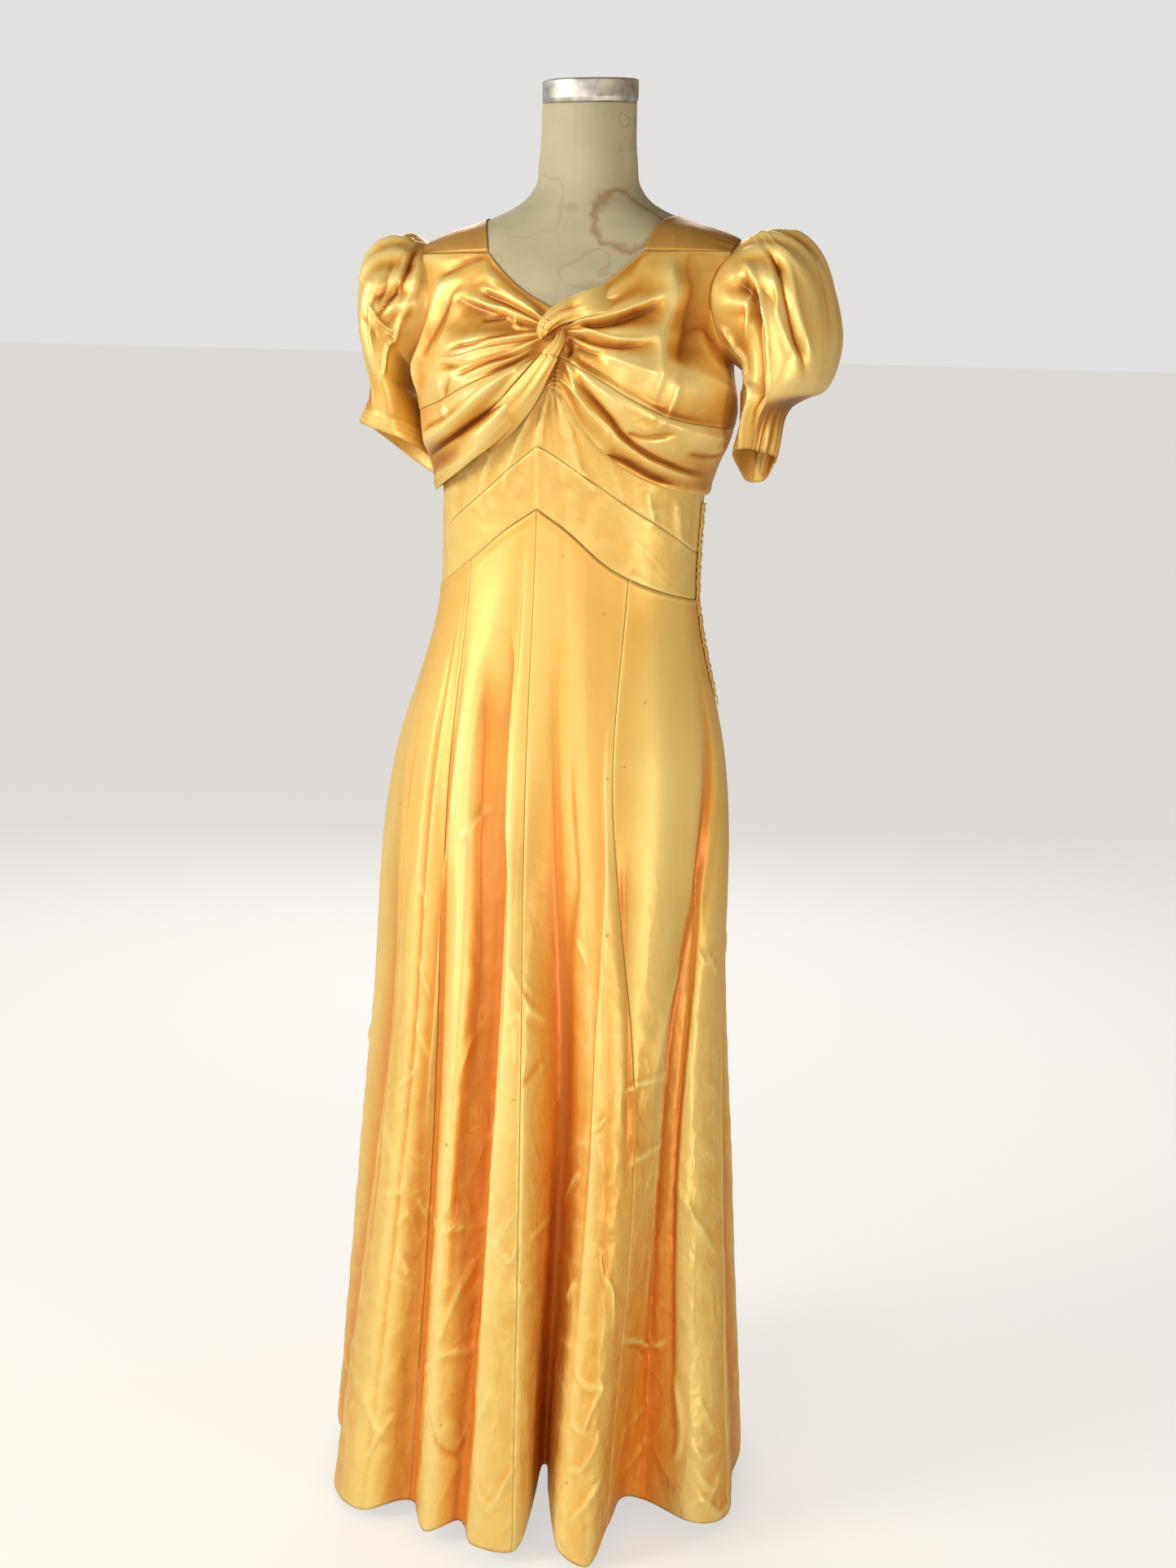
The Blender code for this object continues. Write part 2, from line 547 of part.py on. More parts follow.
def build_foot(finish):
    """A flat cross of equal arms with round ends, higher at the hub, where the pole stands."""
    corner = math.degrees(math.asin(FOOT["half"] / FOOT["reach"]))
    local = np.array([-45, -25, -12, -corner, 0, corner, 12, 25])
    turn = FOOT["turn"] + np.concatenate([local + 360 / FOOT["arms"] * k for k in range(FOOT["arms"])])
    side = np.abs(np.sin(np.radians(np.tile(local, FOOT["arms"]))))
    edge = np.minimum(FOOT["reach"], FOOT["half"] / np.maximum(side, 1e-6))
    top = FOOT["tip"] + (FOOT["hub"] - FOOT["tip"]) * (1 - (edge - FOOT["half"]) / FOOT["reach"]) ** 2 * 0.8
    flat = polar(turn, 1.0)
    hub = np.full(len(turn), POLE_RADIUS + 0.002)
    levels = [(hub, 0 * top), (edge, 0 * top), (edge, top), (hub, 0 * top + FOOT["hub"])]
    rings = [np.concatenate([flat * r[:, None], z[:, None]], -1) for r, z in levels]
    faces = grid_faces(len(rings), len(turn), 0, True, False)
    faces.append(tuple(range(len(turn)))[::-1])
    faces.append(tuple(range(3 * len(turn), 4 * len(turn))))
    make_object("stand_foot", np.concatenate(rings), faces, finish)


def build_skirt(finish):
    """Six gores cut from the one fluted surface."""
    h = np.array([0.0, 0.07, 0.15, 0.24, 0.34, 0.45, 0.57, 0.69, 0.81, 0.91, 1.0])
    for name, (first, last) in GORES.items():
        start, end = FLUTE_NAMES.index(first), FLUTE_NAMES.index(last)
        if end <= start:
            end += len(FLUTES)
        columns = 3 if "back" in name else 4
        t = np.linspace(start, end, (end - start) * columns + 1)
        points, normals = skirt_surface(t[None, :] + 0 * h[:, None], h[:, None] + 0 * t[None, :])
        cloth(name, draw_in(points), normals, finish)


def build_midriff(finish):
    """The gathered upper midriff and the chevron band below it, each from side seam to side seam."""
    angle = np.concatenate([np.linspace(-SIDE, PEAK, 11), np.linspace(PEAK, SIDE, 13)[1:]])
    for name, low, high, rows in (
        ("midriff_band", chevron(angle, 1), chevron(angle, 2), 4),
        ("midriff_upper", chevron(angle, 2), bodice_line(angle, 3), 4),
    ):
        edges = [np.stack([angle, line], -1) for line in (low, high)]
        turn, z = ruled(edges[0], edges[1], np.linspace(0, 1, rows))
        points, normals = dress_point(np.radians(turn), z)
        cloth(name, draw_in(points), normals, finish)


def neckline_edge(side):
    """(angle, height) points up the neckline from the V to the yoke."""
    f = np.linspace(0, 1, 6)
    sag = -0.007 * np.sin(math.pi * f)
    angle = V_POINT["angle"] + (side * YOKE_IN - V_POINT["angle"]) * f
    return np.stack([angle, V_POINT["height"] + (YOKE - V_POINT["height"]) * f + sag], -1)


def build_bodice_front(finish):
    """The two fronts between the bust seam and the neckline, yokes and armholes, and the drapes."""
    for side, hand in ((-1, "right"), (1, "left")):
        yoke = np.stack([side * np.linspace(YOKE_IN, YOKE_OUT, 5)[1:], np.full(4, YOKE)], -1)
        angle, z = armhole_edge(np.linspace(0, 1, 8)[1:], True)
        top = np.concatenate([neckline_edge(side), yoke, np.stack([side * angle, z], -1)])
        spread = np.linspace(0, 1, len(top))
        turn = V_POINT["angle"] + (side * SIDE - V_POINT["angle"]) * spread ** 1.05
        bottom = np.stack([turn, bodice_line(turn, 1)], -1)
        turn, z = ruled(bottom, top, np.linspace(0, 1, 9))
        points, normals = dress_point(np.radians(turn), z, front_lift(turn, z))
        cloth("bodice_front_" + hand, draw_in(points), normals, finish)
        turn = np.linspace(V_POINT["angle"], side * SIDE, 19)
        edges = [np.stack([turn, bodice_line(turn, c)], -1) for c in (2, 1)]
        turn, z = ruled(edges[0], edges[1], np.linspace(0, 1, 8))
        points, normals = dress_point(np.radians(turn), z, front_lift(turn, z))
        cloth("drape_" + hand, draw_in(points), normals, finish)


def build_bodice_back(finish):
    """The back from side seam to side seam, from the waist to the low neck and the yoke seams."""
    angle, z = armhole_edge(np.linspace(1, 0, 7), False)
    yoke = np.linspace(180 - YOKE_OUT, 180 - YOKE_IN, 6)[1:]
    neck = np.linspace(180 - YOKE_IN, 180, 6)[1:]
    dip = YOKE - 0.030 * np.sin(math.pi / 2 * (neck - neck[0] + 9) / (YOKE_IN))
    half = np.concatenate([
        np.stack([angle, z], -1), np.stack([yoke, np.full(5, YOKE - 0.0003)], -1), np.stack([neck, dip], -1),
    ])
    top = np.concatenate([half, (np.array([360.0, 0.0]) + half[-2::-1] * (-1, 1))])
    turn = np.linspace(SIDE, 360 - SIDE, len(top))
    folded = (turn + 180) % 360 - 180
    bottom = np.stack([turn, chevron(folded, 1)], -1)
    shares = np.array([0, 0.1, 0.2, 0.31, 0.42, 0.53, 0.63, 0.72, 0.8, 0.87, 0.94, 1])
    turn, z = ruled(bottom, top, shares)
    aside = np.abs((turn + 180) % 360 - 180)
    lift = 0.0004 + 0.0014 * ramp(z, 1.34, 1.38) + side_lift(z) * (1 - ramp(aside, SIDE, 130))
    points, normals = dress_point(np.radians(turn), z, lift)
    cloth("bodice_back", draw_in(points), normals, finish)


def shoulder_height(x, y):
    """Height of the bare form above a point of the shoulder, read back from its sections."""
    theta, radius = np.arctan2(x, -y), np.hypot(x, y)
    heights = np.linspace(YOKE - 0.001, 1.47, 62)
    table = form_radius(theta[..., None], heights + 0 * theta[..., None])
    flat_table, flat_radius = table.reshape(-1, len(heights)), radius.reshape(-1)
    found = [np.interp(-r, -row, heights) for r, row in zip(flat_radius, flat_table)]
    return np.array(found).reshape(x.shape)


def yoke_point(u, w, side):
    """Point of a yoke on the bare form: u from neck to armhole, w from the front seam to the back."""
    turn = YOKE_IN + (YOKE_OUT - YOKE_IN) * u
    edges = [form_point(np.radians(t), YOKE + 0 * u)[..., :2] for t in (turn, 180 - turn)]
    plan = edges[0] * (1 - w[..., None]) + edges[1] * w[..., None]
    bulge = (YOKE_BULGE[0] + (YOKE_BULGE[1] - YOKE_BULGE[0]) * u) * 4 * w * (1 - w)
    x, y = plan[..., 0] + bulge, plan[..., 1]
    return tilted(np.stack([side * x, y, shoulder_height(x, y)], -1))


def build_yokes(finish):
    for side, hand in ((-1, "right"), (1, "left")):
        u, w = np.meshgrid(np.linspace(0, 1, 8), np.linspace(0, 1, 15), indexing="ij")
        point = yoke_point(u, w, side)
        along = yoke_point(np.minimum(u + 0.02, 1), w, side) - yoke_point(np.maximum(u - 0.02, 0), w, side)
        across = yoke_point(u, np.minimum(w + 0.02, 1), side) - yoke_point(u, np.maximum(w - 0.02, 0), side)
        normal = unit(np.cross(along, across) * side)
        outer = point + normal * (EASE + WALL + 0.0010)
        cloth("yoke_" + hand, draw_in(outer, SEAM * 1.5), normal, finish)


def sleeve_rings(phi, rows, table, side):
    """Rings of a sleeve: the armhole's line first, then the table's sections, smoothly joined."""
    start = armhole_point(phi, side) + np.array([side * 0.0052, 0.0, 0.0])
    rings = [start]
    drop = (0.5 + 0.5 * np.cos(phi - math.radians(BACK_DROP["turn"]))) ** BACK_DROP["power"]
    for x, y, z, out_x, out_z, depth, back in table:
        rings.append(np.stack([
            x + out_x * np.cos(phi), y - depth * np.sin(phi), z + out_z * np.cos(phi) - back * drop,
        ], -1))
    rings = np.array(rings)
    places = np.arange(len(rings))
    wanted = np.linspace(0, len(rings) - 1, rows)
    out = np.empty((rows, len(phi), 3))
    for j in range(len(phi)):
        for c in range(3):
            out[:, j, c] = smooth(wanted, places, rings[:, j, c])
    return out, wanted


def build_sleeves(finish):
    for side, hand, table in ((-1, "right", SLEEVE_RIGHT), (1, "left", SLEEVE_LEFT)):
        columns, rows = 32, 10
        phi = np.arange(columns) * 2 * math.pi / columns
        points, place = sleeve_rings(phi, rows, table, side)
        ahead, behind = np.roll(points, -1, 1), np.roll(points, 1, 1)
        down = np.gradient(points, axis=0)
        normal = unit(np.cross(ahead - behind, down) * -side)
        head = ramp(place, 0.2, 1.0)[:, None] * (1 - ramp(place, 1.6, 3.0))[:, None]
        shirr = GATHER["height"] * np.cos(GATHER["count"] * phi) * (np.cos(phi) > -0.2)
        points = points + normal * (head * shirr)[..., None]
        cloth("sleeve_" + hand, points, normal, finish, closed=True)


def swept_roll(name, path, seat, finish):
    """A flattened roll of cloth along a path of the front, seated just off the draped cloth."""
    count, sides = 13, 10
    places = np.arange(len(path))
    t = np.linspace(0, len(path) - 1, count)
    angle, z, wide, deep = (smooth(t, places, path[:, c]) for c in (0, 1, 2, 3))
    wide, deep = wide * 0.001, deep * 0.001
    lift = front_lift(angle, z) + deep + seat
    centre, normal = dress_point(np.radians(angle), z, lift)
    ahead = unit(np.gradient(centre, axis=0))
    side = unit(np.cross(normal, ahead))
    normal = np.cross(ahead, side)
    phi = np.arange(sides) * 2 * math.pi / sides
    ring = side[:, None] * np.cos(phi)[None, :, None] * wide[:, None, None]
    ring = ring + normal[:, None] * np.sin(phi)[None, :, None] * deep[:, None, None]
    grid = centre[:, None] + ring
    faces = grid_faces(count, sides, 0, True, False)
    faces.append(tuple(range(sides))[::-1])
    faces.append(tuple(range((count - 1) * sides, count * sides)))
    make_object(name, grid.reshape(-1, 3), faces, finish)


def build_placket(finish):
    """The strip over the left side seam, made from the seam's points and moved out."""
    height = np.concatenate([np.linspace(1.150, 1.045, 6), np.linspace(1.035, 0.924, 6)])
    seam = FLUTE_NAMES.index("side_left")
    width = np.array([-1.0, -0.35, 0.35, 1.0]) * 0.0055
    rows = []
    slants = []
    for z in height:
        if z > 1.04:
            point, normal = dress_point(np.radians(SIDE), z)
        else:
            top = chevron(SIDE, 1)
            share = np.array((top - z) / (top - 0.016))
            point, normal = skirt_surface(np.array(float(seam)), share)
        back = unit(np.array([-normal[1], normal[0], 0.0]))
        close = min(1.0, (z - height[-1]) / 0.04 + 0.15)
        rows.append([point + back * w * close + normal * (WALL + 0.0009) for w in width])
        slants.append([normal] * len(width))
    cloth("placket", np.array(rows), np.array(slants), finish, thickness=0.0012)


def main():
    for obj in list(bpy.data.objects):
        bpy.data.objects.remove(obj, do_unlink=True)
    gold = satin("gold_satin", (0.84, 0.50, 0.13, 1.0))
    bright = satin("bright_gold_satin", (0.90, 0.58, 0.18, 1.0))
    deep = satin("deep_gold_satin", (0.66, 0.36, 0.08, 1.0))
    canvas = satin("sized_canvas", (0.52, 0.44, 0.30, 1.0), 0.85)
    tin = metal("brushed_tin", (0.60, 0.60, 0.58, 1.0), 0.38)
    iron = metal("painted_iron", (0.05, 0.05, 0.05, 1.0), 0.5)
    build_form(canvas, tin, iron)
    build_skirt(gold)
    build_midriff(bright)
    build_bodice_front(gold)
    build_bodice_back(gold)
    build_yokes(deep)
    build_sleeves(gold)
    swept_roll("twist_band", TWIST_BAND, ROLL_SEAT["band"], deep)
    swept_roll("twist_loop", TWIST_LOOP, ROLL_SEAT["loop"], deep)
    build_placket(bright)


main()
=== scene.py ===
"""Looks of a golden satin evening gown on a dress form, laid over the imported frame.

Metres, +Z up. The gown's front faces -Y and the wearer's left is +X. Angles go round the form
from 0 at the front and grow towards +X. Every piece is a surface of two parameters on a grid.
"""

import math

import bpy
import numpy as np
from mathutils import Matrix, Vector


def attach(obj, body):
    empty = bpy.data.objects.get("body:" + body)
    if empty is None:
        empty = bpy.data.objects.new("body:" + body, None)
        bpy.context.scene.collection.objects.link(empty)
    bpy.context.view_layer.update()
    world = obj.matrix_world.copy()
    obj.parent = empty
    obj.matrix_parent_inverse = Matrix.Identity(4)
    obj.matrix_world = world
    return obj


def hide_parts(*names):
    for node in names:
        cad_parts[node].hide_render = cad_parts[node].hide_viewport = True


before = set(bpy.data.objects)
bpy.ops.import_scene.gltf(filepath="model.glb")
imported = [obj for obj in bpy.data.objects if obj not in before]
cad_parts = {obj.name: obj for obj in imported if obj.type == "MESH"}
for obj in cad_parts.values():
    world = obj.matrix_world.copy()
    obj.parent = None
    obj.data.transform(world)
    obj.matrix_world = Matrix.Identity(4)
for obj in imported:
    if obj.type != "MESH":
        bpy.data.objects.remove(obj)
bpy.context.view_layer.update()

# Cloth
WALL = 0.0015  # thickness of the CAD walls, whose outer faces the satin follows
SATIN = 0.0008  # thickness of the satin that is drawn
EASE = 0.0006  # air between the form and the satin
PRESSED = -0.0006  # the lowest that a trough may reach, from where the flat cloth lies
SHRINK = 0.0014  # how far the drawn canvas lies inside the form's shape, under the cloth
STEP = 1e-4  # step in height for slopes that are found by differences

# Camera of the photograph: metres from the axis and above the floor, degrees, and mm of lens and sensor
CAMERA = {"distance": 2.6, "height": 1.36, "azimuth": 14.0, "roll": 1.5, "pitch": 11.607, "yaw": 0.441,
          "lens": 71.65, "sensor": 36.0}

# Form
FORM_BOTTOM, NECK_START, NECK_TOP = 0.80, 1.47, 1.569  # heights
CAP_RADIUS, CAP_HEIGHT = 0.0520, 0.0245
NECK_SHIFT = 0.003  # how far the neck stands to the wearer's left
CAP_TILT = 0.05  # slope of the cap's rise towards the back
SHOULDER_TILT = 0.030  # slope of the rise towards the wearer's left
TILT_HEIGHTS = (1.24, 1.40)  # the rise begins at the bust and is whole at the shoulders
ROUNDED_SQUARE = 2.3  # power of the form's sections, where 2 is an ellipse

# Seams: angles in degrees, heights in metres
PEAK = -8.0  # angle of the chevrons' peaks
SIDE = 97.0  # angle of the side seams
YOKE = 1.412  # height of the yoke seams
YOKE_IN, YOKE_OUT = 47.0, 78.0  # angles of a yoke's ends at the neck and at the armhole
YOKE_BULGE = (0.016, 0.0055)  # how far a yoke curves out over the shoulder, at the same two ends
YOKE_FADE = (1.36, 1.40)  # heights between which the cloth comes to lie close for the yokes
ARMHOLE = {"height": 1.362, "rise": 0.062, "reach": 0.060}
V_POINT = {"angle": 0.0, "height": 1.352}
KNOT = {"angle": 1.0, "height": 1.330}
WAIST_BACK = 1.038  # height of the waist seam at the centre back

# Sections of the bare form: height, half width, depth to the front, depth to the back, centre x
FORM = np.array([
    (0.800, 0.146, 0.096, 0.108, -0.003),
    (0.860, 0.158, 0.106, 0.118, -0.003),
    (0.920, 0.157, 0.109, 0.116, -0.004),
    (0.980, 0.150, 0.106, 0.104, -0.006),
    (1.040, 0.1425, 0.102, 0.092, -0.006),
    (1.100, 0.1420, 0.100, 0.088, -0.0055),
    (1.160, 0.1440, 0.103, 0.090, -0.004),
    (1.200, 0.148, 0.108, 0.094, -0.0025),
    (1.240, 0.155, 0.114, 0.098, -0.001),
    (1.280, 0.164, 0.118, 0.102, 0),
    (1.320, 0.170, 0.115, 0.105, 0),
    (1.360, 0.175, 0.105, 0.106, 0),
    (1.392, 0.179, 0.094, 0.104, 0),
    (1.412, 0.180, 0.085, 0.097, 0),
    (1.423, 0.172, 0.080, 0.092, 0),
    (1.434, 0.150, 0.075, 0.086, 0),
    (1.444, 0.118, 0.070, 0.080, 0),
    (1.454, 0.092, 0.066, 0.075, 0.001),
    (1.465, 0.072, 0.061, 0.069, 0.002),
    (1.479, 0.0590, 0.056, 0.062, 0.003),
    (1.510, 0.0530, 0.052, 0.055, 0.003),
    (1.569, 0.0505, 0.0505, 0.0505, 0.003),
])
BUST = {"angle": 34.0, "height": 1.285, "rise": 0.016, "across": 19.0, "tall": 0.042}

# Chevron seams: angle, height of the skirt seam, height of the midriff seam
CHEVRON = np.array([
    (-180.0, WAIST_BACK, 1.088),
    (-97.0, 1.041, 1.091),
    (-78.0, 1.047, 1.100),
    (-62.0, 1.063, 1.124),
    (-45.0, 1.088, 1.150),
    (-28.0, 1.117, 1.179),
    (PEAK, 1.143, 1.211),
    (13.0, 1.118, 1.188),
    (35.0, 1.083, 1.160),
    (57.0, 1.060, 1.130),
    (78.0, 1.047, 1.103),
    (97.0, 1.041, 1.091),
    (180.0, WAIST_BACK, 1.088),
])

# Bodice seams and edges on the front: angle, bust seam, bottom edge of the drape, top of the midriff
BODICE = np.array([
    (-97.0, 1.238, 1.158, 1.200),
    (-76.0, 1.243, 1.154, 1.204),
    (-55.0, 1.256, 1.172, 1.214),
    (-35.0, 1.276, 1.204, 1.232),
    (-18.0, 1.293, 1.236, 1.256),
    (0.0, 1.304, 1.272, 1.284),
    (18.0, 1.290, 1.232, 1.256),
    (35.0, 1.268, 1.196, 1.232),
    (55.0, 1.248, 1.172, 1.214),
    (76.0, 1.238, 1.162, 1.204),
    (97.0, 1.234, 1.160, 1.200),
])

# How far the bodice blouses out: everywhere, and swells of (height of swell, middle, half width)
BLOUSE = 0.0030
BLOUSE_SWELLS = ((0.012, 1.27, 0.05), (0.010, 1.222, 0.03))
# Folds that fan out from the knot: side (-1 the wearer's right), slope in degrees above
# level, height in mm, half width in degrees
FAN = np.array([
    (-1, 34, 6.0, 6), (-1, 18, 5.0, 5), (-1, -9, 5.0, 6), (-1, -26, 5.5, 5),
    (1, 32, 5.0, 7), (1, 18, 6.0, 5), (1, -2, 6.0, 6), (1, -22, 4.0, 5),
])
# Rolls of the drape below the bust seam: side, slope below level, height in mm, half width
ROLLS = np.array([
    (-1, -40, 11.0, 6), (-1, -54, 12.0, 6),
    (1, -36, 6.5, 6), (1, -48, 7.5, 7), (1, -62, 5.0, 6),
])

# Flutes of the skirt, round from the centre back: angle at the waist, angle at the hip, relief
# there in mm, angle and radius in mm at mid height, angle and radius at the hem, hem off the floor
HIP, MID = 0.86, 0.55
FLUTE_NAMES = (
    "centre_back", "back_1", "back_1_in", "back_2", "back_2_in", "side_right", "side_right_in",
    "front_a", "front_a_end", "gore_right", "front_b", "front_b_in", "front_c", "centre_front",
    "front_c_in", "front_d_start", "front_d", "gore_left", "recess", "front_e_in", "front_e", "side_left",
    "side_left_in", "back_6", "back_5_in", "back_5", "back_4_in", "back_4",
)
FLUTES = np.array([
    (-180, -180, -1, -180, 187, -181, 226, 28),
    (-168, -168, 1, -167, 205, -166, 260, 14),
    (-156, -155, -1, -153, 185, -150, 222, 28),
    (-138, -137, 1, -135, 206, -133, 260, 14),
    (-116, -114, -1, -110, 189, -110, 224, 28),
    (-97, -92, 7, -86, 220, -86, 258, 26),
    (-75, -64, -1, -58, 196, -70, 240, 20),
    (-64, -56, 1, -50, 208, -55, 264, 4),
    (-52, -46, 0, -38, 204, -38, 264, 10),
    (-47, -39, -3, -31.5, 185, -29, 224, 24),
    (-33, -28, 1, -21, 198, -18, 252, 14),
    (-17, -12, -9, -9, 172, -10, 235, 28),
    (-12.5, -8, -1, -4.5, 199, -4, 257, 17),
    (PEAK, -2, 0, 3, 203, 6.5, 259, 15),
    (6, 12, -6, 16, 163, 13.5, 145, 62),
    (14, 20, -1, 25, 200, 18, 254, 15),
    (24, 27, 1, 30, 206, 24, 270, 5),
    (45, 36, 1, 38, 206, 31, 234, 28),
    (60, 54, 0, 50, 196, 42, 190, 36),
    (80, 80, -2, 61, 171, 50, 196, 26),
    (88, 88, 0, 68, 191, 56, 253, 17),
    (97, 98, 0, 84, 197, 68, 257, 7),
    (108, 109, -1, 97, 184, 86, 229, 14),
    (118, 118, 0, 109, 196, 103, 234, 20),
    (130, 130, -1, 124, 184, 118, 214, 28),
    (140, 140, 1, 137, 203, 133, 256, 14),
    (152, 152, -1, 150, 185, 148, 220, 28),
    (166, 166, 1, 165, 205, 163, 260, 14),
])
HIP_SECTION = {"half": 0.186, "front": 0.134, "back": 0.150}
FLARE_START = 0.6  # slope of the skirt at its seam, as a share of its slope down to the hip
DRIFT = {"hip": -0.012, "mid": -0.007, "hem": -0.009}  # how far the skirt hangs to the wearer's right
GORES = {  # the two flutes that a gore runs between
    "skirt_back_right": ("centre_back", "side_right"),
    "skirt_side_front_right": ("side_right", "gore_right"),
    "skirt_front_right": ("gore_right", "centre_front"),
    "skirt_front_left": ("centre_front", "gore_left"),
    "skirt_side_front_left": ("gore_left", "side_left"),
    "skirt_back_left": ("side_left", "centre_back"),
}

# Sleeve sections from the armhole to the hem: centre x, centre y, centre z, outer point's x and z
# from the centre, half depth front to back, drop of the lower edge at the back
SLEEVE_LEFT = np.array([
    (0.197, 0.002, 1.367, 0.016, 0.073, 0.068, 0.000),
    (0.222, 0.004, 1.352, 0.036, 0.062, 0.083, 0.000),
    (0.233, 0.006, 1.308, 0.048, 0.034, 0.090, 0.004),
    (0.227, 0.004, 1.276, 0.044, 0.006, 0.084, 0.008),
    (0.207, -0.002, 1.252, 0.024, 0.010, 0.064, 0.016),
    (0.197, -0.003, 1.214, 0.019, -0.006, 0.052, 0.046),
])
SLEEVE_RIGHT = np.array([
    (-0.193, 0.002, 1.354, -0.012, 0.074, 0.070, 0.000),
    (-0.212, 0.004, 1.343, -0.028, 0.062, 0.080, 0.000),
    (-0.215, 0.006, 1.302, -0.030, 0.040, 0.083, 0.006),
    (-0.206, 0.006, 1.262, -0.026, 0.006, 0.075, 0.022),
    (-0.206, 0.010, 1.218, -0.043, 0.008, 0.074, 0.054),
])
BACK_DROP = {"turn": 240.0, "power": 1.5}  # where round a sleeve its lower edge hangs lowest

# Twist in front: a point of the path is an angle, a height, and the roll's half width and
# half depth there in mm
TWIST_BAND = np.array([
    (32.0, 1.366, 15.0, 0.3), (24.0, 1.359, 14.5, 2.2), (12.0, 1.351, 12.5, 5.5), (3.0, 1.344, 10.0, 7.5),
    (-3.0, 1.335, 8.0, 8.0), (-5.5, 1.327, 6.0, 6.0), (-6.0, 1.321, 2.0, 2.5),
])
TWIST_LOOP = np.array([
    (5.0, 1.330, 2.5, 3.0), (4.5, 1.317, 5.5, 6.5), (-0.5, 1.302, 8.5, 7.5), (-6.5, 1.285, 11.0, 6.5),
    (-14.0, 1.264, 14.0, 4.5), (-23.0, 1.242, 16.0, 2.2), (-36.0, 1.215, 15.0, 0.3),
])
TWIST_SUNK = {"twist_band": 0.0045, "twist_loop": 0.0110}  # how far a roll's end dives under the drapes
ROLL_SEAT = {"twist_band": 0.0019, "twist_loop": 0.0040}  # how far a roll's middle stands off the cloth
ROLL_TURN = {"twist_band": 1.2, "twist_loop": -1.0}  # how far a roll's creases turn round it, in radians

# Scales that turn angles and flutes into metres of cloth for the creases
FRONT_RADIUS = 0.125
DEGREE = math.radians(1.0) * FRONT_RADIUS  # metres of cloth to a degree of the bodice
FLUTE_PITCH = 0.055
SLEEVE_RADIUS = 0.075
SECTION_STEP = 0.040
HEM_LOBES = {"left": 0.0030, "right": 0.0}  # how far a sleeve's hem waves in and out

GATHER = {"count": 16, "height": 0.0022}  # ripples of a sleeve's head
HEM_ROWS = (0.12, 0.24, 0.36)  # ridges by the right sleeve's stitching, in sections above the hem
# Gathered line under the knot: its angle, half width, and the heights where it begins and ends
SHIRRING = {"angle": 2.0, "reach": 0.004, "from": (1.262, 1.268), "to": (1.296, 1.300)}
BACK_DARTS = (157.0, 203.0)  # angles
# Placket: half width, how far its middle lies forward of the side seam, heights of its ends, of the
# two rows beside the waist seam, and of the hem below it
PLACKET = {"half_width": 0.0115, "forward": 0.0125, "top": 1.150, "over_waist": 1.045,
           "under_waist": 1.035, "bottom": 0.924, "hem": 0.016}
BAND_STEP = 0.0008  # how far the top of the skirt stands out, to be level with the band above it
# Narrow deep folds of the skirt: flute, place after it, depth and half width in metres
NARROW_VALLEYS = (
    ("front_b_in", 0.0, 0.003, 0.010), ("front_c_in", 0.0, 0.003, 0.012), ("gore_right", 0.15, 0.003, 0.007),
    ("front_e_in", -0.1, 0.004, 0.009), ("front_a_end", 0.0, 0.003, 0.007),
)

# Colours of the satin from its deepest troughs to its sharpest ridges: place and sRGB colour. The fold
# shade picks them: painted shade in the troughs and painted highlight on the ridges.
GOLD_STOPS = ((0.02, "D97F2C"), (0.20, "DE9038"), (0.36, "E2A048"), (0.50, "E6B85E"), (0.66, "F0CF7C"),
              (0.90, "F8E294"))
# Painted shade: the same satin for the draped bodice, the sleeves and the twist, with darker brown troughs
DRAPE_SHADE_STOPS = ((0.04, "7A430C"), (0.22, "A2621A"), (0.38, "C28234"), (0.52, "D49F48"), (0.68, "E8BE68"),
                (0.90, "F6DE94"))
# Painted light and shade: the same satin for the midriff and the placket, with darker troughs and paler
# middle tones
MIDRIFF_LIGHT_STOPS = ((0.02, "C47A24"), (0.20, "D8943A"), (0.36, "E0AE56"), (0.50, "E6BE6A"), (0.66, "EECE7C"),
                (0.90, "F6E094"))
# Painted shade: the same satin for the yokes, painted darker all over as the shoulders lie in shade
YOKE_SHADE_STOPS = ((0.10, "6E3C0E"), (0.34, "86541C"), (0.50, "986628"), (0.66, "AC7A34"), (0.90, "C69A52"))

# Light from all round: strength and colour at the left and at the right, and its share from above
ROOM_LIGHT = {"left": 0.58, "right": 0.25, "above": 0.55, "left_tone": "F2F1EF", "right_tone": "FFD9A4"}
# The pale ground: its colour, how bright the floor and the room look, and the floor's light on the cloth
GROUND = {"tone": "F2F1EF", "floor_seen": 0.68, "room_seen": 0.86, "floor_light": 0.22}
# Lights: name, place, point it faces, size in metres, power in watts, colour
LIGHTS = (
    ("key", (-2.4, -2.0, 1.9), (0.0, 0.0, 1.05), (1.1, 1.7), 74.0, "FFF8EA"),
    ("front", (-0.3, -3.2, 1.3), (0.0, 0.0, 0.95), (1.0, 1.2), 23.0, "FFFAF2"),
    ("side", (2.3, -1.9, 0.5), (0.1, 0.0, 0.45), (0.7, 0.9), 31.0, "FFF2DC"),
    ("back", (-0.8, 2.6, 2.0), (0.0, 0.0, 1.0), (1.6, 1.6), 40.0, "FFFFFF"),
)
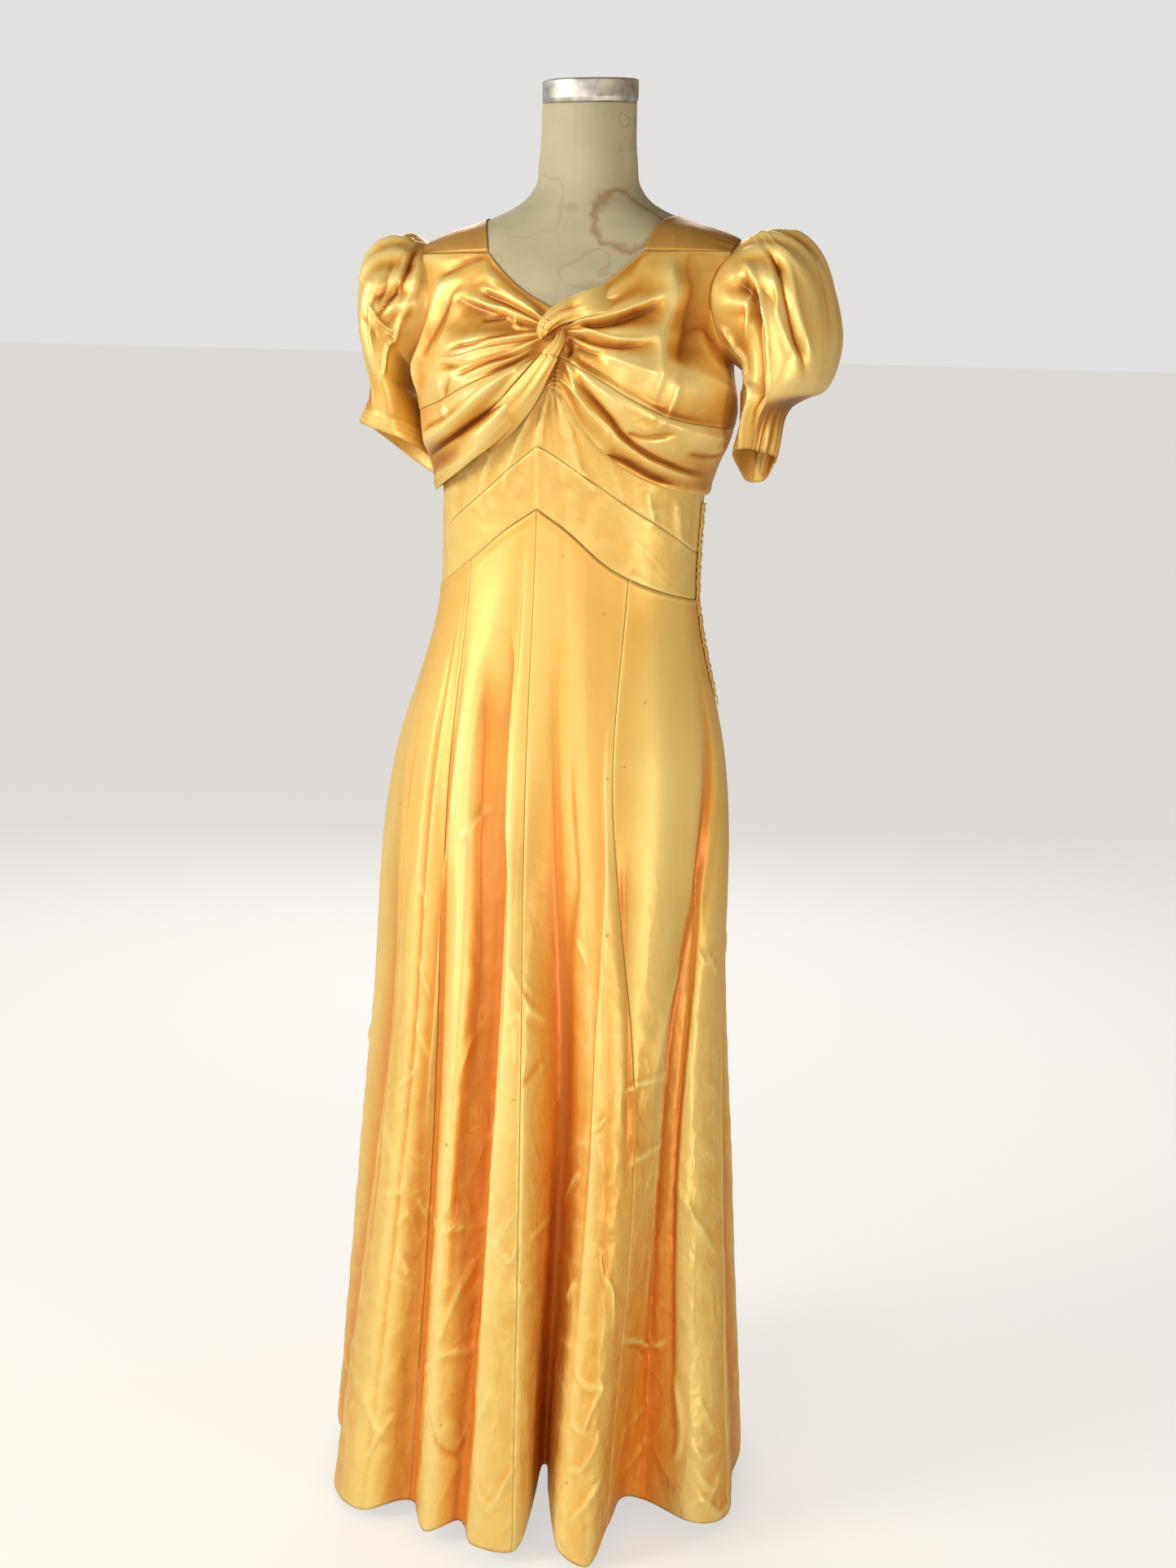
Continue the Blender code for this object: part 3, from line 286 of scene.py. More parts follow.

# Folds listed one by one. A row has a fold's height in mm, less than 0 for a trough, its half width in
# mm on the left and on the right of its path, and the points of the path.
# Finer creases are a bump in the satin's finish.
# Folds of the bodice: points of (angle, height)
BODICE_FOLDS = (
    # wearer's right, from the neckline down
    (1.8, 4.0, 5.0, (-45, 1.396), (-30, 1.373), (-17, 1.360), (-5, 1.345)),
    (-2.4, 3.5, 4.0, (-40, 1.385), (-23, 1.365), (-8, 1.345)),
    (2.2, 3.5, 3.5, (-46, 1.379), (-26, 1.361), (-9, 1.342)),
    (-2.8, 4.5, 6.0, (-43, 1.369), (-28, 1.357), (-9, 1.339)),
    (2.2, 3.5, 3.5, (-50, 1.368), (-36, 1.355), (-24, 1.350), (-8, 1.337)),
    (-2.2, 4.0, 6.0, (-54, 1.368), (-48, 1.359), (-34, 1.349), (-24, 1.344)),
    (-2.2, 2.5, 2.5, (-38, 1.338), (-24, 1.345)),
    (2.2, 2.0, 2.5, (-22, 1.346), (-19, 1.333), (-9, 1.331)),
    (-3.4, 1.8, 2.2, (-49, 1.308), (-37, 1.313), (-29, 1.321), (-10, 1.329)),
    (2.6, 2.2, 2.2, (-47, 1.303), (-36, 1.308), (-27, 1.317), (-10, 1.326)),
    (4.0, 2.8, 1.8, (-56, 1.298), (-41, 1.298), (-33, 1.305), (-22, 1.313), (-9, 1.322)),
    (-4.0, 2.2, 5.0, (-52, 1.291), (-38, 1.292), (-26, 1.303), (-12, 1.316)),
    (-4.5, 3.0, 4.0, (-44, 1.281), (-34, 1.290), (-26, 1.299), (-14, 1.309)),
    (3.0, 2.5, 2.5, (-38, 1.280), (-27, 1.293), (-16, 1.304), (-7, 1.316)),
    (3.5, 4.0, 4.0, (-50, 1.280), (-46, 1.240)), (-3.0, 4.0, 4.0, (-42, 1.285), (-47, 1.270), (-50, 1.252)),
    (7.0, 9.0, 9.0, (-58, 1.399), (-62, 1.374), (-65, 1.340), (-69, 1.312), (-72, 1.294), (-70, 1.270),
     (-58, 1.248)),
    (-3.5, 8.0, 8.0, (-54, 1.386), (-56, 1.362), (-60, 1.330), (-63, 1.308), (-65, 1.296)),
    (2.0, 8.0, 3.5, (-55, 1.378), (-54, 1.345), (-54, 1.298)),
    (-3.0, 5.0, 6.0, (-45, 1.410), (-55, 1.402), (-60, 1.392), (-64, 1.378)),
    (-4.0, 5.0, 2.0, (-74, 1.217), (-50, 1.240), (-32, 1.272), (-18, 1.296), (-7, 1.313)),
    (5.0, 6.0, 6.0, (-78, 1.198), (-55, 1.222), (-40, 1.250), (-26, 1.275), (-14, 1.298), (-5, 1.314)),
    (-9.0, 3.0, 3.5, (-80, 1.187), (-58, 1.208), (-40, 1.233), (-24, 1.259), (-16, 1.278), (-9, 1.296),
     (-3, 1.312)),
    (6.5, 10.0, 9.0, (-84, 1.158), (-60, 1.178), (-40, 1.202), (-22, 1.240), (-10, 1.270)),
    # wearer's left, from the neckline down
    (2.2, 2.0, 2.5, (2, 1.340), (12, 1.348), (24, 1.358), (40, 1.375)),
    (-2.4, 2.0, 3.0, (4, 1.337), (14, 1.344), (24, 1.353), (34, 1.363)),
    (5.0, 2.8, 1.8, (3, 1.334), (14, 1.338), (24, 1.342), (36, 1.350), (47, 1.362), (58, 1.376)),
    (-5.0, 2.0, 5.0, (10, 1.334), (25, 1.336), (37, 1.344), (52, 1.360)),
    (4.5, 2.6, 2.0, (5, 1.331), (14, 1.334), (20, 1.328), (26, 1.323), (32, 1.320), (40, 1.320),
     (49, 1.327)),
    (-4.0, 2.2, 4.0, (10, 1.328), (20, 1.318), (30, 1.314), (40, 1.314)),
    (-2.2, 3.0, 3.0, (11, 1.315), (20, 1.308), (30, 1.309)), (2.5, 3.0, 4.0, (24, 1.305), (34, 1.296),
     (44, 1.288)),
    (6.0, 4.0, 14.0, (57, 1.408), (56, 1.386), (56, 1.367), (52, 1.344), (48, 1.323), (46, 1.298),
     (45, 1.268)),
    (-8.5, 22.0, 7.0, (67, 1.420), (65, 1.390), (63, 1.360), (58, 1.334), (54, 1.306), (51, 1.280)),
    (2.4, 5.0, 10.0, (44, 1.304), (57, 1.293), (70, 1.284), (88, 1.270)),
    (1.6, 2.0, 2.5, (46, 1.330), (45, 1.300), (43, 1.262)), (2.6, 4.0, 4.0, (52, 1.288), (50, 1.262),
     (46, 1.236)),
    (3.0, 3.0, 3.0, (70, 1.354), (74, 1.328)), (-2.5, 3.0, 3.0, (66, 1.348), (70, 1.320)),
    (-4.5, 3.0, 1.5, (8, 1.294), (19, 1.270), (28, 1.250), (34, 1.233), (44, 1.214), (53, 1.202),
     (65, 1.191),
     (82, 1.183)),
    (5.5, 1.6, 8.0, (8, 1.288), (19, 1.264), (28, 1.244), (34, 1.227), (44, 1.208), (53, 1.196),
     (65, 1.185),
     (82, 1.177)),
    (3.5, 2.0, 3.0, (1, 1.287), (15, 1.269), (22, 1.253), (28, 1.237), (29, 1.226)),
    (-5.0, 5.0, 4.0, (22, 1.214), (39, 1.200), (52, 1.184), (66, 1.175)),
    (-2.6, 4.0, 2.0, (35, 1.236), (43, 1.231), (56, 1.234)), (3.0, 5.0, 5.0, (62, 1.236), (76, 1.228),
     (90, 1.226)),
    (-3.0, 4.0, 4.0, (60, 1.212), (74, 1.206), (90, 1.208)),
    # keyhole under the twist
    (-9.0, 1.8, 1.8, (8, 1.324), (9, 1.314), (9, 1.302)),
)
# Folds of the midriff: points of (angle, height)
MIDRIFF_FOLDS = (
    (-2.6, 4.5, 4.5, (-4, 1.275), (-2, 1.225), (0, 1.197), (6, 1.148), (9, 1.110)),
    (2.0, 6.0, 6.0, (2, 1.272), (14, 1.199), (26, 1.158)), (-2.0, 3.0, 3.0, (10, 1.238), (18, 1.199),
     (34, 1.146)),
    (-2.0, 3.0, 3.0, (34, 1.195), (45, 1.146)), (1.6, 4.0, 4.0, (-3, 1.266), (-10, 1.190)),
    (-1.8, 3.5, 3.5, (-6, 1.262), (-15, 1.205), (-20, 1.170)),
    (1.8, 4.0, 4.0, (-9, 1.256), (-24, 1.190), (-30, 1.150)),
    (-1.6, 3.5, 3.5, (-26, 1.215), (-38, 1.160)), (1.4, 4.0, 4.0, (-34, 1.205), (-44, 1.150)),
    (1.4, 4.0, 4.0, (50, 1.170), (57, 1.122)), (-1.4, 4.0, 4.0, (-52, 1.180), (-58, 1.126)),
    (1.4, 4.0, 4.0, (66, 1.160), (72, 1.100)), (-1.4, 4.0, 4.0, (78, 1.170), (82, 1.080)),
)
# Folds of the sleeves: points of (angle round the sleeve, section), counted from the shoulder point
# and the armhole
LEFT_SLEEVE_FOLDS = (
    (7.0, 4.0, 4.0, (106, -0.1), (120, 0.4), (134, 0.9), (140, 2.5), (118, 4.4), (108, 5.8), (100, 6.8)),
    (4.0, 2.2, 3.0, (56, 0.5), (70, 0.86), (98, 0.98), (128, 1.3)),
    (-13.0, 8.0, 6.0, (66, 0.4), (92, 1.2), (112, 1.8), (118, 2.6), (114, 3.6), (98, 4.5), (80, 5.6)),
    (5.5, 2.4, 3.0, (52, 0.4), (70, 0.9), (84, 1.26), (97, 2.0), (102, 2.8), (99, 3.9), (78, 5.2),
     (62, 6.2)),
    (-6.5, 4.0, 6.0, (34, 0.5), (50, 1.2), (64, 1.6), (72, 2.1), (72, 2.7), (62, 3.3), (50, 3.9)),
    (3.0, 2.2, 2.2, (40, 0.8), (56, 1.2), (72, 1.7), (83, 2.1), (81, 2.6), (70, 3.15), (50, 3.5)),
    (3.5, 4.0, 3.0, (42, 1.3), (56, 1.9), (63, 2.4), (58, 3.0), (46, 3.6)),
    (2.4, 1.4, 1.4, (6, 0.0), (24, 0.5), (58, 1.05)), (2.2, 1.4, 1.4, (10, 0.3), (30, 0.8), (52, 1.2)),
    (2.6, 1.4, 1.4, (4, 0.2), (20, 0.7), (40, 1.36), (48, 2.2)),
    (-2.5, 6.0, 6.0, (-2, 0.4), (16, 1.7), (28, 3.1)), (2.2, 9.0, 9.0, (-4, 1.0), (8, 2.2), (20, 3.9)),
    (-2.2, 8.0, 8.0, (-16, 0.6), (-10, 2.2), (-4, 3.7)), (2.5, 5.0, 5.0, (128, -0.1), (158, 2.0),
     (156, 5.4)),
)
RIGHT_SLEEVE_FOLDS = (
    (4.5, 2.4, 4.0, (34, -0.1), (56, 0.24), (78, 0.42), (98, 0.7), (119, 1.4), (116, 2.4), (108, 3.3),
     (72, 4.2)),
    (-5.0, 4.0, 3.0, (22, 0.1), (44, 0.4), (66, 0.62), (84, 0.95), (94, 1.7), (88, 2.4)),
    (2.4, 2.2, 2.2, (40, 0.5), (64, 0.72), (86, 0.86), (100, 1.5)),
    (-2.2, 3.0, 3.0, (50, 0.9), (76, 1.2), (90, 1.7)),
    (2.6, 2.4, 2.4, (72, 2.2), (88, 2.0), (101, 1.9), (110, 1.45), (104, 0.95)),
    (-2.6, 5.0, 5.0, (66, 2.7), (88, 2.45), (104, 2.3)),
    (2.2, 3.0, 4.0, (66, 1.1), (78, 1.7), (90, 2.6), (100, 3.1)),
    (2.0, 1.6, 1.6, (8, 0.2), (34, 0.5), (52, 0.9)),
    (2.0, 1.6, 1.6, (2, 0.3), (24, 0.8), (40, 1.4)), (2.4, 8.0, 8.0, (16, 0.9), (34, 2.8)),
    (-2.4, 7.0, 7.0, (0, 0.7), (16, 3.0)), (1.5, 1.6, 1.6, (30, 2.3), (58, 2.0), (72, 1.5)),
    (2.0, 5.0, 5.0, (60, 3.2), (72, 4.6)),
)
# Folds of the skirt: points of (flute, height), first its deep folds with their crisp edges, then
# the short creases from the hip down
SKIRT_FOLDS = (
    (5.0, 22.0, 2.5, (10.7, 1.04), (11.2, 0.94), (11.6, 0.84), (12.2, 0.74), (12.3, 0.62), (12.1, 0.45),
     (12.0, 0.2), (12.1, 0.0)),
    (-9.5, 26.0, 16.0, (10.1, 1.0), (10.3, 0.90), (10.4, 0.78), (10.5, 0.64), (10.4, 0.48), (10.3, 0.30),
     (10.3, 0.06)),
    (4.0, 16.0, 2.2, (9.3, 0.94), (9.2, 0.81), (9.0, 0.72), (8.8, 0.60), (8.7, 0.50), (8.8, 0.38)),
    (-3.0, 2.5, 9.0, (7.0, 0.90), (6.9, 0.78), (7.0, 0.62), (7.0, 0.50), (7.2, 0.38), (7.3, 0.20)),
    (5.0, 22.0, 2.2, (16.8, 0.94), (16.6, 0.79), (16.2, 0.71), (15.7, 0.64), (15.2, 0.56), (15.0, 0.4),
     (15.0, 0.1)),
    (-6.0, 2.5, 6.0, (18.8, 0.92), (18.9, 0.76), (19.4, 0.66), (19.6, 0.58), (19.5, 0.42), (19.5, 0.2),
     (19.6, 0.0)),
    (-5.0, 14.0, 14.0, (17.3, 0.80), (16.9, 0.61), (16.6, 0.40)),
    (3.0, 9.0, 9.0, (18.9, 0.66), (18.0, 0.59), (17.4, 0.50)),
    (-3.5, 9.0, 9.0, (15.0, 0.90), (14.9, 0.76), (14.3, 0.66), (14.2, 0.42)),
    (1.6, 2.0, 4.0, (7.8, 0.73), (8.3, 0.70)), (1.5, 2.0, 4.0, (7.9, 0.65), (8.7, 0.60)),
    (2.0, 2.0, 3.0, (7.6, 0.50), (8.4, 0.535)), (1.6, 2.0, 4.0, (8.0, 0.58), (8.8, 0.53)),
    (1.6, 2.0, 3.0, (10.5, 0.58), (10.2, 0.53)), (2.2, 2.0, 4.0, (12.4, 0.66), (12.9, 0.635), (13.3, 0.61),
     (13.9, 0.585)),
    (2.2, 2.0, 3.0, (12.4, 0.595), (13.0, 0.615)), (1.8, 2.0, 3.0, (12.7, 0.60), (12.7, 0.55)),
    (2.0, 5.0, 5.0, (9.8, 0.78), (10.6, 0.825)), (-1.8, 3.0, 4.0, (13.6, 0.56), (13.0, 0.53)),
    (2.0, 2.0, 3.0, (14.6, 0.69), (15.2, 0.65)), (2.4, 2.0, 3.0, (15.0, 0.485), (15.9, 0.505)),
    (2.0, 2.0, 3.0, (19.3, 0.665), (20.0, 0.645), (20.5, 0.655)),
    (2.0, 2.0, 3.0, (20.0, 0.655), (20.6, 0.625)),
    (2.4, 1.8, 4.0, (16.5, 0.525), (17.4, 0.535), (19.5, 0.53)),
    (1.8, 1.6, 3.0, (17.0, 0.54), (17.0, 0.44)),
    (1.0, 2.0, 4.0, (20.3, 0.51), (20.8, 0.49)), (2.2, 2.0, 3.5, (7.6, 0.375), (8.3, 0.395)),
    (2.2, 2.0, 3.0, (8.0, 0.345), (8.4, 0.365)), (2.4, 1.8, 3.0, (8.1, 0.32), (8.6, 0.285)),
    (2.2, 2.0, 3.0, (8.6, 0.38), (9.0, 0.35)), (2.0, 3.0, 5.0, (8.8, 0.375), (9.4, 0.36), (10.0, 0.375),
     (10.2, 0.405)),
    (2.4, 2.0, 4.0, (9.5, 0.345), (10.2, 0.36), (10.8, 0.36)),
    (3.4, 2.5, 4.0, (12.2, 0.37), (12.7, 0.345), (13.0, 0.365)),
    (3.0, 2.0, 4.0, (12.2, 0.355), (12.7, 0.33)), (2.2, 2.0, 3.0, (12.1, 0.415), (12.4, 0.38)),
    (2.2, 3.0, 5.0, (9.3, 0.185), (10.3, 0.22), (11.2, 0.22)),
    (-2.6, 4.0, 7.0, (9.7, 0.16), (10.4, 0.11), (11.1, 0.10)),
    (2.2, 5.0, 5.0, (9.9, 0.21), (10.5, 0.29), (11.0, 0.34)), (2.6, 3.0, 4.0, (7.7, 0.15), (8.1, 0.11),
     (8.5, 0.10)),
    (2.4, 3.0, 4.0, (8.5, 0.13), (8.2, 0.10), (7.8, 0.055)), (2.0, 2.0, 3.0, (6.8, 0.18), (7.4, 0.15)),
    (2.4, 3.0, 4.0, (11.9, 0.10), (12.4, 0.065), (12.8, 0.10), (13.2, 0.125)),
    (2.4, 2.5, 3.5, (10.7, 0.11), (11.4, 0.16)),
    (2.4, 2.5, 4.0, (12.4, 0.20), (12.0, 0.15)), (2.0, 1.8, 3.0, (13.2, 0.365), (13.9, 0.375)),
    (2.6, 2.0, 4.0, (14.7, 0.44), (14.4, 0.41), (14.1, 0.37)), (2.2, 2.0, 3.0, (14.8, 0.32), (14.5, 0.28)),
    (2.4, 2.0, 4.0, (16.7, 0.445), (17.6, 0.455), (19.4, 0.455)),
    (-2.0, 1.6, 2.0, (16.9, 0.48), (16.8, 0.45)),
    (3.0, 2.0, 6.0, (19.4, 0.41), (20.1, 0.36), (20.8, 0.30)),
    (4.0, 2.0, 3.5, (16.8, 0.255), (18.2, 0.22), (19.1, 0.212), (19.5, 0.225)),
    (-3.0, 2.0, 3.0, (17.1, 0.24), (18.6, 0.205), (19.3, 0.205)),
    (4.0, 3.0, 3.0, (15.6, 0.36), (15.9, 0.33), (16.3, 0.31), (16.5, 0.25)),
    (3.0, 2.0, 4.0, (14.9, 0.225), (15.5, 0.208), (16.4, 0.208)),
    (3.4, 2.0, 5.0, (16.3, 0.215), (15.8, 0.18), (15.5, 0.15)),
    (2.4, 2.0, 4.0, (14.9, 0.165), (15.6, 0.155)), (3.0, 3.0, 4.0, (14.9, 0.11), (15.7, 0.12),
     (16.4, 0.17)),
    (3.0, 4.0, 5.0, (15.2, 0.05), (15.9, 0.08), (16.7, 0.12)),
    (3.0, 3.0, 4.0, (19.5, 0.19), (19.7, 0.12), (19.5, 0.07)),
    (3.4, 2.0, 4.0, (19.8, 0.115), (20.2, 0.09), (20.6, 0.09)),
    (3.6, 2.0, 4.0, (20.0, 0.075), (20.5, 0.05), (20.7, 0.075)),
    (3.4, 3.0, 4.0, (19.7, 0.025), (20.1, 0.042), (20.6, 0.040)),
    (3.4, 2.0, 4.0, (20.0, 0.055), (20.8, 0.008)),
    (3.0, 2.0, 3.0, (20.6, 0.015), (21.5, 0.030)), (2.4, 3.0, 4.0, (20.1, 0.16), (20.6, 0.11)),
    (2.2, 4.0, 5.0, (17.4, 0.125), (19.3, 0.145)), (2.2, 4.0, 5.0, (17.6, 0.065), (19.3, 0.105)),
    # the same on the sides and the back
    (-5.0, 3.0, 12.0, (3.0, 0.90), (2.9, 0.60), (3.1, 0.2)), (-5.0, 3.0, 12.0, (25.0, 0.92), (25.2, 0.60),
     (24.9, 0.2)),
    (4.0, 14.0, 3.0, (1.2, 0.88), (1.0, 0.5), (1.1, 0.1)), (4.0, 3.0, 14.0, (27.1, 0.88), (27.0, 0.5),
     (26.9, 0.1)),
    (2.6, 2.0, 4.0, (1.4, 0.42), (2.2, 0.38)), (2.6, 2.0, 4.0, (3.2, 0.36), (4.3, 0.40)),
    (2.4, 2.0, 4.0, (4.5, 0.55), (5.4, 0.50)),
    (2.6, 2.0, 4.0, (23.1, 0.44), (24.0, 0.40)), (2.4, 2.0, 4.0, (25.3, 0.34), (26.2, 0.38)),
    (3.0, 2.0, 4.0, (5.2, 0.12), (6.0, 0.08)),
    (3.0, 2.0, 4.0, (2.2, 0.11), (3.0, 0.15)), (3.0, 2.0, 4.0, (22.2, 0.14), (23.0, 0.10)),
    (3.0, 2.0, 4.0, (26.1, 0.12), (26.9, 0.08)),
    (2.4, 2.0, 4.0, (22.6, 0.66), (23.2, 0.62)), (2.4, 2.0, 4.0, (3.9, 0.22), (4.8, 0.18)),
    (2.4, 2.0, 4.0, (24.0, 0.24), (24.8, 0.27)),
)
FOLD_STEPS = 60  # points along a fold's path
FOLD_REACH = 0.0035  # metres that a fold is worked out to, for each mm of its half width
FOLD_SHARPNESS = 1.4  # power of a fold's curve, where 1 is a crease and 2 a round bell
FOLD_ENDS = (0.2, 0.7)  # shares of the path where a fold has come up and where it begins to fade
# Fold shade: how far round a point its neighbours count, and how deep it has to lie below them
SHADE_SCALES = ((0.006, 0.0034), (0.020, 0.0085), (0.045, 0.017))
NOISE_CELLS = 61  # size of the table of random heights, which repeats
CREASE_WIDTH = 0.16  # how near to zero the random field is within a crease
CRUSHED = (0.25, 0.95)  # heights between which the skirt goes from crushed to smooth
CRUMPLED = (0.30, 0.95)  # the same for the bump of its finish
# Gathers that spread from a point: how many ripples in a full turn, their height, how far they reach
GATHERS = {"bodice": (19, 0.0010, 0.030), "midriff_upper": (23, 0.0020, 0.040)}
NECK_DIP = {"depth": 0.030, "start": 133.4}  # curve of the back's neckline, from an angle by the yoke
# Rows and columns of the grids. A front's and the back's columns follow from their edges: each part
# of an edge has so many steps, times the fineness
ROWS = {"bodice_front": 100, "drape": 72, "midriff": 40, "bodice_back": 80, "yoke": 44,
        "skirt_back": 120, "skirt_front": 240, "sleeve": 84, "twist": 120}
COLUMNS = {"drape": 150, "yoke": 70, "skirt_back": 90, "skirt_front": 94, "sleeve": 170, "twist": 72,
           "placket": 16, "form": 144, "cap": 120}
FINENESS = {"bodice_front": 9, "bodice_back": 5}


def smooth(x, xs, ys):
    """A cubic through the points (xs, ys), each slope weighted from its two chords."""
    xs = np.asarray(xs, float)
    ys = np.asarray(ys, float)
    extra = (1,) * (ys.ndim - 1)
    gap = np.diff(xs).reshape((-1,) + extra)
    chord = np.diff(ys, axis=0) / gap
    slope = np.empty(ys.shape)
    slope[0], slope[-1] = chord[0], chord[-1]
    slope[1:-1] = (chord[:-1] * gap[1:] + chord[1:] * gap[:-1]) / (gap[1:] + gap[:-1])
    k = np.clip(np.searchsorted(xs, x, side="right") - 1, 0, len(gap) - 1)
    width = gap[k]
    f = np.clip(((x - xs[k]).reshape(np.shape(x) + extra)) / width, 0.0, 1.0)
    return hermite(ys[k], ys[k + 1], slope[k] * width, slope[k + 1] * width, f)


def hermite(a, b, slope_a, slope_b, f):
    """The cubic from a to b with those end slopes, at the share f of the way."""
    return (
        a * (1 + 2 * f) * (1 - f) ** 2 + slope_a * f * (1 - f) ** 2
        + b * f * f * (3 - 2 * f) - slope_b * f * f * (1 - f)
    )


def ramp(x, low, high):
    """0 below low, 1 above high, and a soft step between."""
    f = np.clip((x - low) / (high - low), 0.0, 1.0)
    return f * f * (3 - 2 * f)


def unit(v):
    """Vectors divided by their lengths."""
    return v / np.linalg.norm(v, axis=-1, keepdims=True)


def folded(angle):
    """The same angle in degrees, between -180 and 180."""
    return (angle + 180) % 360 - 180


def round_angles(count):
    """count angles in radians, in even steps once round."""
    return np.arange(count) * 2 * math.pi / count


def form_radius(theta, z):
    """Radius of the bare form: a rounded-square section with two soft bust mounds."""
    half, front, back = (smooth(z, FORM[:, 0], FORM[:, c]) for c in (1, 2, 3))
    depth = np.where(np.cos(theta) > 0, front, back)
    power = ROUNDED_SQUARE + (2.0 - ROUNDED_SQUARE) * ramp(z, YOKE, NECK_START)
    across = (np.abs(np.sin(theta)) / half) ** power
    along = (np.abs(np.cos(theta)) / depth) ** power
    radius = (across + along) ** (-1.0 / power)
    turn = np.degrees(np.abs((theta + math.pi) % (2 * math.pi) - math.pi))
    mound = np.exp(-(((turn - BUST["angle"]) / BUST["across"]) ** 2))
    return radius + BUST["rise"] * mound * np.exp(-(((z - BUST["height"]) / BUST["tall"]) ** 2))


def tilted(point):
    """The points with the wearer's left raised a little and the right lowered, from the bust up."""
    rise = SHOULDER_TILT * point[..., 0] * ramp(point[..., 2], *TILT_HEIGHTS)
    return np.stack([point[..., 0], point[..., 1], point[..., 2] + rise], -1)


def form_point(theta, z):
    """Point of the form: its radius at theta, set round its centre line and tilted."""
    radius = form_radius(theta, z)
    centre = smooth(z, FORM[:, 0], FORM[:, 4])
    point = np.stack([centre + radius * np.sin(theta), -radius * np.cos(theta), z + 0.0 * theta], -1)
    return tilted(point)


def offset_point(theta, z, lift):
    """(points, normals) of the body's shape, moved out by lift along its normal."""
    theta, z = np.broadcast_arrays(np.asarray(theta, float), np.asarray(z, float))
    round_it = form_point(theta + STEP * 10, z) - form_point(theta - STEP * 10, z)
    up = form_point(theta, z + STEP) - form_point(theta, z - STEP)
    normal = unit(np.cross(round_it, up))
    return form_point(theta, z) + normal * np.asarray(lift)[..., None], normal


def dress_point(theta, z, lift=0.0):
    """(points, normals) of the cloth's right side, raised by lift where it stands off the form."""
    return offset_point(theta, z, EASE + SATIN + np.asarray(lift))


def chevron(angle, column):
    """Height of a chevron seam at an angle in degrees: two smooth arms that meet at the peak."""
    top = int(np.argmax(CHEVRON[:, column]))
    left, right = CHEVRON[: top + 1], CHEVRON[top:]
    return np.where(
        angle < PEAK,
        smooth(angle, left[:, 0], left[:, column]),
        smooth(angle, right[:, 0], right[:, column]),
    )


def bodice_line(angle, column):
    """Height of one of the bodice's lines at an angle in degrees: a smooth curve through its table."""
    return smooth(angle, BODICE[:, 0], BODICE[:, column])


def fullness(z):
    """How far the bodice blouses out over the midriff, most of all just above it: a constant and
    two bell curves of the height."""
    total = BLOUSE
    for height, middle, half in BLOUSE_SWELLS:
        total = total + height * np.exp(-((z - middle) / half) ** 2)
    return total


def side_lift(z):
    """The same at the side seams, where the back blouses with the front: fullness between two
    soft steps."""
    return fullness(z) * 0.9 * (1 - ramp(z, 1.25, 1.30)) * ramp(z, 1.150, 1.185)


def front_lift(angle, z):
    """How far the draped front stands off the form: its fullness, and ridges that spread from the
    knot, each a bell curve of the slope of the line from the knot to the point."""
    side = np.where(angle < KNOT["angle"], -1, 1)
    across = np.radians(angle - KNOT["angle"]) * FRONT_RADIUS * side
    rise = z - KNOT["height"]
    far = np.hypot(across, rise)
    slope = np.degrees(np.arctan2(rise, np.maximum(across, 1e-6)))
    bust_seam = bodice_line(angle, 1)
    aside = np.abs(angle)
    full = fullness(z) * (0.4 + 0.6 * ramp(aside, 20, 60)) * (1 - ramp(z, 1.36, YOKE))
    lift = full + (side_lift(z) - full) * ramp(aside, 78, SIDE)
    forward = form_radius(np.radians(angle), z) * np.cos(np.radians(angle))
    clear = np.hypot(forward / ARMHOLE["reach"], (z - ARMHOLE["height"]) / ARMHOLE["rise"])
    near_armhole = 1 - ramp(clear, 1.0, 1.4)
    upper = ramp(z, bust_seam - 0.008, bust_seam + 0.008)
    # Both kinds rise a little way from the knot and grow softer far from it
    fan_reach = ramp(far, 0.005, 0.035) * (1 - 0.75 * ramp(far, 0.06, 0.13)) * (1 - ramp(z, 1.385, YOKE))
    roll_reach = ramp(far, 0.005, 0.045) * (1 - 0.45 * ramp(far, 0.10, 0.22))
    for table, reach, part in ((FAN, fan_reach, upper), (ROLLS, roll_reach, 1 - upper)):
        for turn, lean, height, half in table:
            ridge = np.exp(-(((slope - lean) / half) ** 2)) * np.where(side == turn, 1.0, 0.0)
            lift = lift + 0.001 * height * ridge * reach * part
    lift = np.maximum(lift, BLOUSE * (1 - ramp(z, 1.27, 1.30)))
    return lift * (1 - near_armhole) + EASE * ramp(z, *YOKE_FADE)


def armhole_point(phi, side):
    """Point of the armhole's line, an ellipse in y and z on the form's rounded-square side: phi is
    0 at the shoulder and 90 degrees in front."""
    y = -ARMHOLE["reach"] * np.sin(phi)
    z = ARMHOLE["height"] + ARMHOLE["rise"] * np.cos(phi)
    half, front, back = (smooth(z, FORM[:, 0], FORM[:, c]) for c in (1, 2, 3))
    depth = np.where(y < 0, front, back)
    x = half * (1 - (np.abs(y) / depth) ** ROUNDED_SQUARE) ** (1 / ROUNDED_SQUARE)
    return tilted(np.stack([side * x, y, z], -1))


def armhole_edge(share, front):
    """(angle, height) along the armhole from the yoke seam, at share 0, to the side seam at 1."""
    start = math.acos((YOKE - ARMHOLE["height"]) / ARMHOLE["rise"])
    phi = (start + (math.pi - start) * share) * (1 if front else -1)
    point = armhole_point(phi, 1)
    angle = np.degrees(np.arctan2(point[..., 0], -point[..., 1]))
    drift = (SIDE - 90.0) * ramp(share, 0.6, 1.0)
    return angle + drift, ARMHOLE["height"] + ARMHOLE["rise"] * np.cos(phi)


